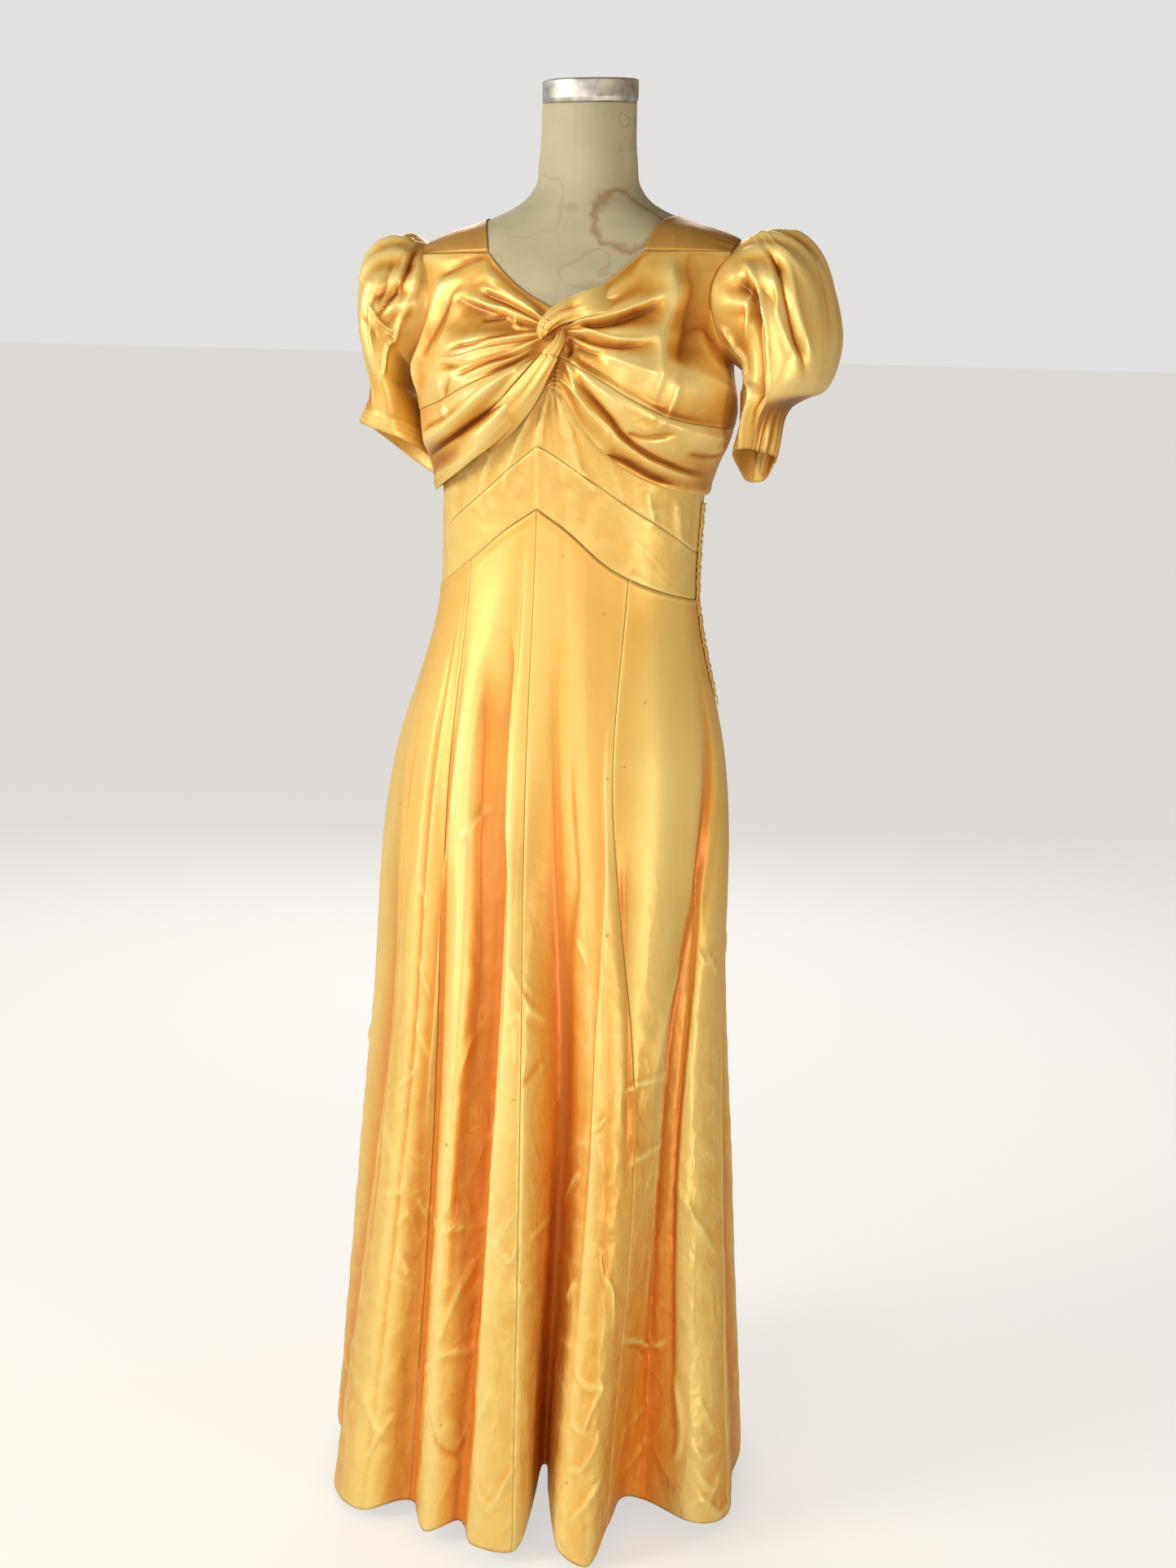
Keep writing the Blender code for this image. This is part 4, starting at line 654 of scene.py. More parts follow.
def ring_curve(points, t):
    """A closed curve through the points (rows of the first axis), t counted in points.

    Knots are spaced by the square root of the chords, so close points make no loops.
    """
    count = len(points)
    gap = np.maximum(np.linalg.norm(np.roll(points, -1, 0) - points, axis=-1), 1e-6) ** 0.5
    after = (np.roll(points, -1, 0) - points) / gap[:, None]
    before = np.roll(after, 1, 0)
    gap_before = np.roll(gap, 1)
    across = (np.roll(points, -1, 0) - np.roll(points, 1, 0)) / (gap + gap_before)[:, None]
    slope = before - across + after
    k = np.floor(t).astype(int)
    f = (t - k)[..., None]
    a, b = k % count, (k + 1) % count
    width = gap[a][..., None]
    return hermite(points[a], points[b], slope[a] * width, slope[b] * width, f)


def polar(angle, radius):
    """(x, y) of points at an angle in degrees from the front and a radius."""
    return np.stack([radius * np.sin(np.radians(angle)), -radius * np.cos(np.radians(angle))], -1)


def turn_curve(column, t):
    """An angle of the flute table at t, which may run past the last flute."""
    rows = np.arange(-2, len(FLUTES) + 3)
    angle = FLUTES[rows % len(FLUTES), column] + 360.0 * (rows // len(FLUTES))
    return smooth(t, rows, angle)


def skirt_stations(t):
    """The four (x, y, z) points that a line of the skirt hangs through, from seam to hem."""
    waist = turn_curve(0, t)
    top = dress_point(np.radians(waist), chevron(folded(waist), 1))[0]
    across = (np.abs(np.sin(np.radians(FLUTES[:, 1]))) / HIP_SECTION["half"]) ** ROUNDED_SQUARE
    facing = np.where(np.abs(FLUTES[:, 1]) < 90, HIP_SECTION["front"], HIP_SECTION["back"])
    along = (np.abs(np.cos(np.radians(FLUTES[:, 1]))) / facing) ** ROUNDED_SQUARE
    hip_radius = (across + along) ** (-1 / ROUNDED_SQUARE) + 0.001 * FLUTES[:, 2]
    rise = ring_curve(FLUTES[:, 7:8] * 0.001, t)
    hip = ring_curve(polar(FLUTES[:, 1], hip_radius) + (DRIFT["hip"], 0.0), t)
    mid = ring_curve(polar(FLUTES[:, 3], 0.001 * FLUTES[:, 4]) + (DRIFT["mid"], 0.0), t)
    hem = ring_curve(polar(FLUTES[:, 5], 0.001 * FLUTES[:, 6]) + (DRIFT["hem"], 0.0), t)
    level = np.ones(t.shape + (1,))
    return [
        top,
        np.concatenate([hip, HIP * level], -1),
        np.concatenate([mid, MID * level], -1),
        np.concatenate([hem, rise], -1),
    ]


def skirt_point(t, h):
    """Point of the skirt: t goes round in flutes and h goes from the waist seam, 0, to the hem, 1.
    It lies on a cubic of the height through the four stations of its line."""
    stations = skirt_stations(t)
    z = stations[0][..., 2] + (stations[3][..., 2] - stations[0][..., 2]) * h
    heights = [s[..., 2] for s in stations]
    gaps = [a - b for a, b in zip(heights, heights[1:])]
    chords = [(b - a)[..., :2] / g[..., None] for a, b, g in zip(stations, stations[1:], gaps)]
    slopes = [chords[0] * FLARE_START]
    for i in (1, 2):
        total = (gaps[i - 1] + gaps[i])[..., None]
        slopes.append((chords[i - 1] * gaps[i][..., None] + chords[i] * gaps[i - 1][..., None]) / total)
    slopes.append(chords[2])
    out = np.zeros(z.shape + (2,))
    for i in range(3):
        low = heights[i + 1] if i < 2 else heights[3] - 1.0
        here = (z <= heights[i] + (1.0 if i == 0 else 0.0)) & (z > low)
        f = ((heights[i] - z) / gaps[i])[..., None]
        width = gaps[i][..., None]
        part = hermite(stations[i][..., :2], stations[i + 1][..., :2],
                       slopes[i] * width, slopes[i + 1] * width, f)
        out = np.where(here[..., None], part, out)
    return np.concatenate([out, z[..., None]], -1)


def skirt_surface(t, h):
    """(points, normals) of the skirt, each normal the cross product of its steps down and round."""
    point = skirt_point(t, h)
    round_it = skirt_point(t + 0.004, h) - skirt_point(t - 0.004, h)
    down = skirt_point(t, np.minimum(h + 0.002, 1.0)) - skirt_point(t, np.maximum(h - 0.002, 0.0))
    return point, unit(np.cross(down, round_it))


def ruled(bottom, top, shares):
    """(angle, height) grids of the straight lines between two edges of (angle, height)."""
    shares = np.asarray(shares)[:, None]
    return tuple(bottom[:, c] * (1 - shares) + top[:, c] * shares for c in (0, 1))


def neckline_edge(side, count):
    """(angle, height) points up the neckline from the V to the yoke: a straight line that sags by
    half a sine wave."""
    f = np.linspace(0, 1, count)
    sag = -0.007 * np.sin(math.pi * f)
    angle = V_POINT["angle"] + (side * YOKE_IN - V_POINT["angle"]) * f
    return np.stack([angle, V_POINT["height"] + (YOKE - V_POINT["height"]) * f + sag], -1)


def shoulder_height(x, y):
    """Height of the bare form over a point of the shoulder: the height whose section has the
    point's radius, found by interpolation."""
    theta, radius = np.arctan2(x, -y), np.hypot(x, y)
    heights = np.linspace(YOKE - 0.001, 1.47, 62)
    table = form_radius(theta[..., None], heights + 0 * theta[..., None])
    flat_table, flat_radius = table.reshape(-1, len(heights)), radius.reshape(-1)
    found = [np.interp(-r, -row, heights) for r, row in zip(flat_radius, flat_table)]
    return np.array(found).reshape(x.shape)


def yoke_point(u, w, side):
    """Point of a yoke on the bare form: u from neck to armhole, w from the front seam to the back.
    Seen from above it runs straight between the two seams, with a bulge that is a parabola of w."""
    turn = YOKE_IN + (YOKE_OUT - YOKE_IN) * u
    edges = [form_point(np.radians(t), YOKE + 0 * u)[..., :2] for t in (turn, 180 - turn)]
    plan = edges[0] * (1 - w[..., None]) + edges[1] * w[..., None]
    bulge = (YOKE_BULGE[0] + (YOKE_BULGE[1] - YOKE_BULGE[0]) * u) * 4 * w * (1 - w)
    x, y = plan[..., 0] + bulge, plan[..., 1]
    return tilted(np.stack([side * x, y, shoulder_height(x, y)], -1))


def soft_noise(x, z, size, seed):
    """Random heights from -1 to 1, a new one every size metres, blended between by a soft step."""
    cells = NOISE_CELLS
    table = np.random.default_rng(seed).uniform(-1.0, 1.0, (cells, cells))
    u, v = x / size + 17.3, z / size + 5.7
    i, j = np.floor(u).astype(int), np.floor(v).astype(int)
    f, g = u - i, v - j
    f, g = f * f * (3 - 2 * f), g * g * (3 - 2 * g)
    near, far = (
        table[i % cells, row % cells] * (1 - f) + table[(i + 1) % cells, row % cells] * f
        for row in (j, j + 1)
    )
    return near * (1 - g) + far * g


def crush(x, z, size, seed):
    """Creases of pressed satin: thin lines where a random field crosses zero, 1 on the line, and
    falling off with the field's size beside it."""
    field = soft_noise(x, z, size, seed) + 0.45 * soft_noise(x, z, size * 0.45, seed + 1)
    strong = 0.5 + 0.5 * soft_noise(x, z, size * 1.7, seed + 2)
    return np.exp(-np.abs(field) / CREASE_WIDTH) * strong


def fold_relief(x, z, folds, x_scale, z_scale=1.0, narrowest=0.0):
    """Sum of the folds in a table, at points x, z in metres: each follows a smooth path, a bell
    curve of the distance from it gives its height, and it fades out at both ends. No fold is made
    narrower than narrowest, in mm, which a grid's step sets."""
    total = np.zeros(np.broadcast(x, z).shape)
    x, z = np.broadcast_arrays(x, z)
    share = np.linspace(0, 1, FOLD_STEPS)
    for height, left, right, *path in folds:
        path = np.array(path, float) * (x_scale, z_scale)
        line = smooth(share * (len(path) - 1), np.arange(len(path)), path)
        ahead = np.gradient(line, axis=0)
        reach = FOLD_REACH * max(left, right)
        low, high = line.min(0) - reach, line.max(0) + reach
        near = (x > low[0]) & (x < high[0]) & (z > low[1]) & (z < high[1])
        beside, above = x[near][:, None] - line[:, 0], z[near][:, None] - line[:, 1]
        closest = (beside ** 2 + above ** 2).argmin(1)
        row = np.arange(len(closest))
        beside, above = beside[row, closest], above[row, closest]
        step = ahead[closest]
        length = np.hypot(step[:, 0], step[:, 1])
        across = (step[:, 0] * above - step[:, 1] * beside) / length
        along = (step[:, 0] * beside + step[:, 1] * above) / length
        past = np.maximum(np.abs(along) - length, 0)
        width = 0.001 * np.maximum(np.where(across > 0, left, right), narrowest)
        place = (closest + np.clip(along / length, -1, 1)) / (FOLD_STEPS - 1)
        fade = ramp(place, 0.0, FOLD_ENDS[0]) * (1 - ramp(place, FOLD_ENDS[1], 1.0))
        bell = np.exp(-(np.hypot(across, past) / width) ** FOLD_SHARPNESS)
        total[near] += 0.001 * height * fade * bell
    return total


def fan_relief(x, z, origin, count, height, reach):
    """Gathers that spread from a point: ripples by direction, which fade with distance."""
    dx, dz = x - origin[0], z - origin[1]
    far = np.hypot(dx, dz)
    turn = np.arctan2(dx, -dz)
    return height * np.cos(count * turn) * ramp(far, 0.002, 0.014) * np.exp(-far / reach)


def bodice_relief(angle, z):
    """Height of the drawn folds over the plain draped front."""
    x = np.radians(angle) * FRONT_RADIUS
    relief = fold_relief(x, z, BODICE_FOLDS, DEGREE, narrowest=2.3)
    origin = (KNOT["angle"] * DEGREE, KNOT["height"])
    relief += fan_relief(x, z, origin, *GATHERS["bodice"])
    relief *= 0.3 + 0.7 * ramp(np.hypot(x - origin[0], z - origin[1]), 0.010, 0.034)
    relief += 0.0004 * crush(x, z, 0.030, 11) + 0.0006 * soft_noise(x, z, 0.018, 12)
    beside = (x - SHIRRING["angle"] * DEGREE) / SHIRRING["reach"]
    held = ramp(z, *SHIRRING["from"]) * (1 - ramp(z, *SHIRRING["to"]))
    stitches = 0.0008 * np.cos(z * 1500) * np.exp(-beside ** 2)
    relief += held * (stitches - 0.0016 * np.exp(-(beside / 0.3) ** 2))
    return relief * (1 - 0.8 * ramp(np.abs(angle), 84, SIDE))


def arcs(points):
    """(across, down): metres along each row and down each column of a grid of points."""
    across = np.zeros(points.shape[:2])
    across[:, 1:] = np.cumsum(np.linalg.norm(np.diff(points, axis=1), axis=-1), axis=1)
    down = np.zeros(points.shape[:2])
    down[1:] = np.cumsum(np.linalg.norm(np.diff(points, axis=0), axis=-1), axis=0)
    return across, down


def spread(grid, cells, axis):
    """Mean of each point's neighbours, cells away on both sides along an axis."""
    pad = [(0, 0)] * grid.ndim
    pad[axis] = (cells + 1, cells)
    total = np.cumsum(np.pad(grid, pad, mode="edge"), axis=axis)
    size = grid.shape[axis]
    high = np.take(total, np.arange(2 * cells + 1, 2 * cells + 1 + size), axis=axis)
    low = np.take(total, np.arange(size), axis=axis)
    return (high - low) / (2 * cells + 1)


def hollowness(points, normals, reach):
    """How deep each point lies below the mean of the cloth within reach metres, in metres."""
    across, down = arcs(points)
    step_across = across[:, -1].mean() / (points.shape[1] - 1)
    step_down = down[-1].mean() / (points.shape[0] - 1)
    mean = spread(points, max(1, int(reach / step_across)), 1)
    mean = spread(mean, max(1, int(reach / step_down)), 0)
    return np.einsum("ijk,ijk->ij", mean - points, normals)


def fold_shade(points, normals):
    """0 in the deepest troughs, 0.5 on flat cloth and 1 on the sharpest ridges."""
    deep = sum(hollowness(points, normals, reach) / depth for reach, depth in SHADE_SCALES)
    return 0.5 - 0.5 * np.tanh(deep)


def surface_normals(points, outward):
    """Normals of a grid by differences, on the same side as outward."""
    normal = unit(np.cross(np.gradient(points, axis=1), np.gradient(points, axis=0)))
    return normal * np.sign(np.einsum("ijk,ijk->ij", normal, outward))[..., None]


def ring_normals(points, side):
    """Normals of a grid of closed rings: the cross product of the steps round a ring and from ring
    to ring, turned by side, which is 1 or -1."""
    around = np.roll(points, -1, 1) - np.roll(points, 1, 1)
    return unit(np.cross(around, np.gradient(points, axis=0)) * side)


def side_distances(points):
    """Metres along the cloth from each point of a grid to the sides top, bottom, first and last."""
    across, down = arcs(points)
    return {"top": down[-1] - down, "bottom": down, "first": across, "last": across[:, -1:] - across}


def seam_dip(points, sides, depth=0.0007, width=0.0016):
    """A small dip along the sewn sides of a grid: a bell curve of the distance from each side."""
    distance = side_distances(points)
    return -sum(depth * np.exp(-(distance[s] / width) ** 2) for s in sides)


def edge_roll(points, side, height=0.0008, width=0.0035):
    """A turned edge: a soft roll along one side of a grid, a bell curve a little way in from it."""
    return height * np.exp(-((side_distances(points)[side] - 0.6 * width) / width) ** 2)


def draw_in(points, amount=0.0002):
    """The grid with each open edge moved inwards by amount, so that seams keep their gap."""
    moved = points.copy()
    for edge, inner in ((np.s_[0], np.s_[1]), (np.s_[-1], np.s_[-2]),
                        (np.s_[:, 0], np.s_[:, 1]), (np.s_[:, -1], np.s_[:, -2])):
        moved[edge] = moved[edge] + unit(points[inner] - points[edge]) * amount
    return moved


def grid_quads(rows, columns, closed=False):
    """Quads of a grid of points, numbered row by row; closed joins the last column to the first."""
    i, j = np.meshgrid(np.arange(rows - 1), np.arange(columns if closed else columns - 1), indexing="ij")
    a = i * columns + j
    b = i * columns + (j + 1) % columns
    return np.stack([a, b, b + columns, a + columns], -1).reshape(-1, 4)


def tube_faces(rows, columns):
    """Faces of a closed tube: the quads between its rings and one flat face at each end."""
    ends = [list(range(columns))[::-1], list(range((rows - 1) * columns, rows * columns))]
    return grid_quads(rows, columns, True).tolist() + ends


def new_object(name, data):
    """A new object of that name in the scene."""
    made = bpy.data.objects.new(name, data)
    bpy.context.scene.collection.objects.link(made)
    return made


def make_piece(name, vertices, faces, finish, shade=None, cloth_uv=None, crumple=None):
    """A smooth mesh object that rides on the body, with its fold shade, its share of fine
    crumpling and its cloth UV map."""
    mesh = bpy.data.meshes.new(name)
    mesh.from_pydata(vertices.tolist(), [], faces.tolist() if hasattr(faces, "tolist") else faces)
    mesh.shade_smooth()
    for label, values in (("fold", shade), ("crumple", crumple)):
        if values is not None:
            attribute = mesh.attributes.new(label, "FLOAT", "POINT")
            attribute.data.foreach_set("value", values.astype(np.float32).ravel())
    if cloth_uv is not None:
        corner = np.empty(len(mesh.loops), dtype=np.int32)
        mesh.loops.foreach_get("vertex_index", corner)
        layer = mesh.uv_layers.new(name="cloth")
        layer.data.foreach_set("uv", cloth_uv[corner].astype(np.float32).ravel())
    mesh.materials.append(finish)
    mesh.update()
    piece = new_object(name, mesh)
    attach(piece, "root")
    return piece


def cloth_piece(node, points, outward, finish, closed=False, crumple=0.3):
    """A satin shell: the grid as its right side, a wrong side behind it and a rim round its edges."""
    normals = surface_normals(points, outward) if not closed else outward
    shade = fold_shade(points, normals)
    across, down = arcs(points)
    rows, columns = points.shape[:2]
    facing = np.cross(points[rows // 2, columns // 2] - points[rows // 2, columns // 2 - 1],
                      points[rows // 2 + 1, columns // 2] - points[rows // 2, columns // 2])
    flip = np.dot(facing, normals[rows // 2, columns // 2]) < 0
    outer = grid_quads(rows, columns, closed)
    inner = outer[:, ::-1] + rows * columns
    if closed:
        ring = np.arange(columns)
        rims = [ring, ring[::-1] + (rows - 1) * columns]
    else:
        index = np.arange(rows * columns).reshape(rows, columns)
        rims = [np.concatenate([index[0, :-1], index[:-1, -1], index[-1, :0:-1], index[:0:-1, 0]])]
    walls = []
    for rim in rims:
        ahead = np.roll(rim, -1)
        walls.append(np.stack([rim, rim + rows * columns, ahead + rows * columns, ahead], -1))
    faces = np.concatenate([outer, inner] + walls)
    if flip:
        faces = faces[:, ::-1]
    vertices = np.concatenate([points.reshape(-1, 3), (points - normals * SATIN).reshape(-1, 3)])
    cloth_uv = np.stack([across, down], -1).reshape(-1, 2)
    crumple = np.broadcast_to(crumple, shade.shape)
    piece = make_piece(node + "_cloth", vertices, faces, finish, np.concatenate([shade.ravel()] * 2),
                       np.concatenate([cloth_uv] * 2), np.concatenate([crumple.ravel()] * 2))
    cells = points if not closed else np.concatenate([points, points[:, :1]], axis=1)
    across, down = arcs(cells)
    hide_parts(node)


def linear(code):
    """An sRGB hex colour as linear red, green, blue and alpha."""
    value = np.array([int(code[i:i + 2], 16) for i in (0, 2, 4)]) / 255.0
    value = np.where(value <= 0.04045, value / 12.92, ((value + 0.055) / 1.055) ** 2.4)
    return (*value.tolist(), 1.0)


def plug(tree, node, inputs):
    """Fills sockets of a node, each from a value or from the socket that feeds it."""
    for socket, value in inputs:
        if isinstance(value, bpy.types.NodeSocket):
            tree.links.new(value, node.inputs[socket])
        else:
            node.inputs[socket].default_value = value


def add(tree, kind, inputs=(), **settings):
    """A node with its settings, and its inputs as (socket, value or the socket that feeds it)."""
    node = tree.nodes.new(kind)
    for key, value in settings.items():
        setattr(node, key, value)
    plug(tree, node, inputs)
    return node


def blank(name):
    """A new finish with the tree and the shader node that it starts with."""
    finish = bpy.data.materials.new(name)
    finish.use_nodes = True
    return finish, finish.node_tree, finish.node_tree.nodes["Principled BSDF"]


def colour_ramp(tree, factor, stops):
    """A Color Ramp node fed by factor, with stops of (place, hex colour)."""
    node = add(tree, "ShaderNodeValToRGB", [("Fac", factor)])
    elements = node.color_ramp.elements
    while len(elements) < len(stops):
        elements.new(0.5)
    for element, (place, code) in zip(elements, stops):
        element.position = place
        element.color = linear(code)
    return node.outputs["Color"]


def satin(name, stops, roughness, metallic, gloss, stains=0.0):
    """Rayon satin: long warp floats, calendered, which give a soft metallic glow that stretches
    across the threads, and faint slubs along the weft. Its colour holds painted shade, a darker
    orange in the troughs of the folds and towards the hem, and painted highlight on the ridges."""
    finish, tree, shader = blank(name)
    place = add(tree, "ShaderNodeTexCoord")
    uv, body = place.outputs["UV"], place.outputs["Object"]
    # Painted shade and highlight: the fold shade, low in troughs and high on ridges, picks the colour
    fold = add(tree, "ShaderNodeAttribute", attribute_name="fold").outputs["Fac"]
    # Handling and light have shifted the colour in soft clouds about 110 mm across
    cloud = add(tree, "ShaderNodeTexNoise", [("Vector", body), ("Scale", 9.0), ("Detail", 3.0)])
    shifted = add(tree, "ShaderNodeMath", [(0, cloud.outputs["Fac"]), (1, 0.22)], operation="MULTIPLY")
    moved = add(tree, "ShaderNodeMath", [(0, fold), (1, shifted.outputs[0])], operation="ADD")
    # Painted shade: the ramp is read lower towards the hem, so the lower gown is painted darker and more
    # orange than its waist
    height = add(tree, "ShaderNodeSeparateXYZ", [("Vector", body)]).outputs["Z"]
    painted_hem_shade = add(tree, "ShaderNodeMapRange", [("Value", height), ("From Min", 0.1), ("From Max", 0.85),
                                              ("To Min", 0.30), ("To Max", 0.10)])
    centred = add(tree, "ShaderNodeMath", [(0, moved.outputs[0]), (1, painted_hem_shade.outputs[0])],
                  operation="SUBTRACT")
    colour = colour_ramp(tree, centred.outputs[0], stops)
    # Weft slubs about 1 mm apart and 30 mm long; the 0.15 mm threads are too fine to show
    stretch = add(tree, "ShaderNodeMapping", [("Vector", uv), ("Scale", (30.0, 900.0, 1.0))])
    slub = add(tree, "ShaderNodeTexNoise", [("Vector", stretch.outputs[0]), ("Scale", 1.0), ("Detail", 2.0)])
    streak = add(tree, "ShaderNodeMix", [("Factor", 0.10), (6, colour), (7, slub.outputs["Fac"])],
                 data_type="RGBA", blend_type="OVERLAY")
    result = streak.outputs[2]
    # Small brown spots, 1 to 3 mm across and well apart
    if stains:
        spots = add(tree, "ShaderNodeTexNoise", [("Vector", body), ("Scale", 130.0), ("Detail", 0.0)])
        mask = add(tree, "ShaderNodeMapRange", [("Value", spots.outputs["Fac"]), ("From Min", 0.86),
                                                ("From Max", 0.92), ("To Max", stains)])
        spotted = add(tree, "ShaderNodeMix", [("Factor", mask.outputs[0]), (6, result),
                                              (7, linear("8A5A22"))], data_type="RGBA")
        result = spotted.outputs[2]
    # Pressed creases: sharp ridges between dents about 42 mm and 14 mm across
    share = add(tree, "ShaderNodeAttribute", attribute_name="crumple").outputs["Fac"]
    leaned = add(tree, "ShaderNodeMapping", [("Vector", body), ("Rotation", (0.0, 0.5, 0.0)),
                                             ("Scale", (1.0, 1.0, 0.6))])
    normal = None
    for size, depth in ((24.0, 0.0080), (70.0, 0.0022)):
        dents = add(tree, "ShaderNodeTexNoise", [("Vector", leaned.outputs[0]), ("Scale", size),
                                                 ("Detail", 1.0), ("Distortion", 0.4)])
        away = add(tree, "ShaderNodeMath", [(0, dents.outputs["Fac"]), (1, 0.5)], operation="SUBTRACT")
        ridge = add(tree, "ShaderNodeMath", [(0, away.outputs[0])], operation="ABSOLUTE")
        links = [("Strength", share), ("Distance", depth), ("Height", ridge.outputs[0])]
        links += [("Normal", normal)] if normal else []
        normal = add(tree, "ShaderNodeBump", links, invert=True).outputs[0]
    weave = add(tree, "ShaderNodeBump", [("Strength", 0.08), ("Distance", 0.0006),
                                         ("Height", slub.outputs["Fac"]), ("Normal", normal)])
    plug(tree, shader, [("Base Color", result), ("Normal", weave.outputs[0]), ("Metallic", metallic),
                        ("Roughness", roughness), ("Anisotropic", 0.35), ("IOR", 1.53),
                        ("Specular Tint", linear("FFE8BC"))])
    # The calendered face adds a paler gloss of its own
    plug(tree, shader, [("Coat Weight", gloss), ("Coat Roughness", 0.30), ("Coat Tint", linear("FFF6E0"))])
    return finish


def canvas_finish():
    """Linen canvas, sized and aged: a matt grey-beige weave with tide lines where damp dried."""
    finish, tree, shader = blank("sized_canvas")
    body = add(tree, "ShaderNodeTexCoord").outputs["Object"]
    # Grime in clouds about 140 mm across, then the edges of damp patches about 90 mm across
    cloud = add(tree, "ShaderNodeTexNoise", [("Vector", body), ("Scale", 7.0), ("Detail", 5.0)])
    base = colour_ramp(tree, cloud.outputs["Fac"], [(0.30, "AAA287"), (0.50, "BCB396"), (0.70, "CCC4A7")])
    wave = add(tree, "ShaderNodeTexNoise", [("Vector", body), ("Scale", 11.0), ("Detail", 2.0)])
    line = colour_ramp(tree, wave.outputs["Fac"],
                       [(0.590, "000000"), (0.602, "9A9A9A"), (0.610, "000000")])
    # One larger tide mark runs down the base of the neck on the left
    far = add(tree, "ShaderNodeVectorMath", [(0, body), (1, (0.066, -0.075, 1.458))], operation="DISTANCE")
    ragged = add(tree, "ShaderNodeTexNoise", [("Vector", body), ("Scale", 45.0), ("Detail", 3.0)])
    reach = add(tree, "ShaderNodeMath", [(0, ragged.outputs["Fac"]), (1, 0.034), (2, far.outputs["Value"])],
                operation="MULTIPLY_ADD")
    mark = colour_ramp(tree, reach.outputs[0], [(0.036, "303030"), (0.052, "404040"), (0.0595, "F0F0F0"),
                                                (0.0640, "000000")])
    either = add(tree, "ShaderNodeMix", [("Factor", 1.0), (6, line), (7, mark)], data_type="RGBA",
                 blend_type="LIGHTEN")
    tide = add(tree, "ShaderNodeMix", [("Factor", either.outputs[2]), (6, base), (7, linear("8E6C46"))],
               data_type="RGBA")
    # Threads each way, drawn about 1.8 mm apart, coarser than linen, because real ones are too fine
    # to show at this distance
    threads = []
    for axis in ("X", "Z"):
        bands = add(tree, "ShaderNodeTexWave", [("Vector", body), ("Scale", 170.0), ("Distortion", 1.5)],
                    bands_direction=axis)
        threads.append(bands.outputs["Fac"])
    weave = add(tree, "ShaderNodeMath", [(0, threads[0]), (1, threads[1])], operation="ADD")
    bump = add(tree, "ShaderNodeBump", [("Strength", 0.25), ("Distance", 0.0004),
                                        ("Height", weave.outputs[0])])
    plug(tree, shader, [("Base Color", tide.outputs[2]), ("Normal", bump.outputs[0]), ("Roughness", 0.9)])
    return finish


def tin_finish():
    """Rolled tin plate, brushed round and worn: dull grey metal with fine rings and dark spots."""
    finish, tree, shader = blank("brushed_tin")
    body = add(tree, "ShaderNodeTexCoord").outputs["Object"]
    cloud = add(tree, "ShaderNodeTexNoise", [("Vector", body), ("Scale", 60.0), ("Detail", 4.0)])
    base = colour_ramp(tree, cloud.outputs["Fac"], [(0.35, "A8A7A1"), (0.55, "D6D5D0"), (0.75, "EAEAE6")])
    # Brush marks round the cap, about 0.7 mm apart and 30 mm long
    stretch = add(tree, "ShaderNodeMapping", [("Vector", body), ("Scale", (30.0, 30.0, 1400.0))])
    rings = add(tree, "ShaderNodeTexNoise", [("Vector", stretch.outputs[0]), ("Scale", 1.0), ("Detail", 2.0)])
    rough = add(tree, "ShaderNodeMapRange", [("Value", rings.outputs["Fac"]), ("To Min", 0.36),
                                             ("To Max", 0.6)])
    bump = add(tree, "ShaderNodeBump", [("Strength", 0.15), ("Distance", 0.0003),
                                        ("Height", rings.outputs["Fac"])])
    plug(tree, shader, [("Base Color", base), ("Roughness", rough.outputs[0]),
                        ("Normal", bump.outputs[0]), ("Metallic", 1.0)])
    return finish


def iron_finish():
    """Cast iron under old black paint: slightly pitted and dull."""
    finish, tree, shader = blank("painted_iron")
    body = add(tree, "ShaderNodeTexCoord").outputs["Object"]
    # Pits of the sand mould, about 4 mm apart
    pits = add(tree, "ShaderNodeTexNoise", [("Vector", body), ("Scale", 260.0), ("Detail", 2.0)])
    base = colour_ramp(tree, pits.outputs["Fac"], [(0.35, "1B1A19"), (0.70, "2E2C2A")])
    bump = add(tree, "ShaderNodeBump", [("Strength", 0.3), ("Distance", 0.0004),
                                        ("Height", pits.outputs["Fac"])])
    plug(tree, shader, [("Base Color", base), ("Normal", bump.outputs[0]), ("Metallic", 0.4),
                        ("Roughness", 0.5)])
    return finish


def raised(points, normals, relief):
    """The points moved along their normals by relief."""
    return points + normals * relief[..., None]


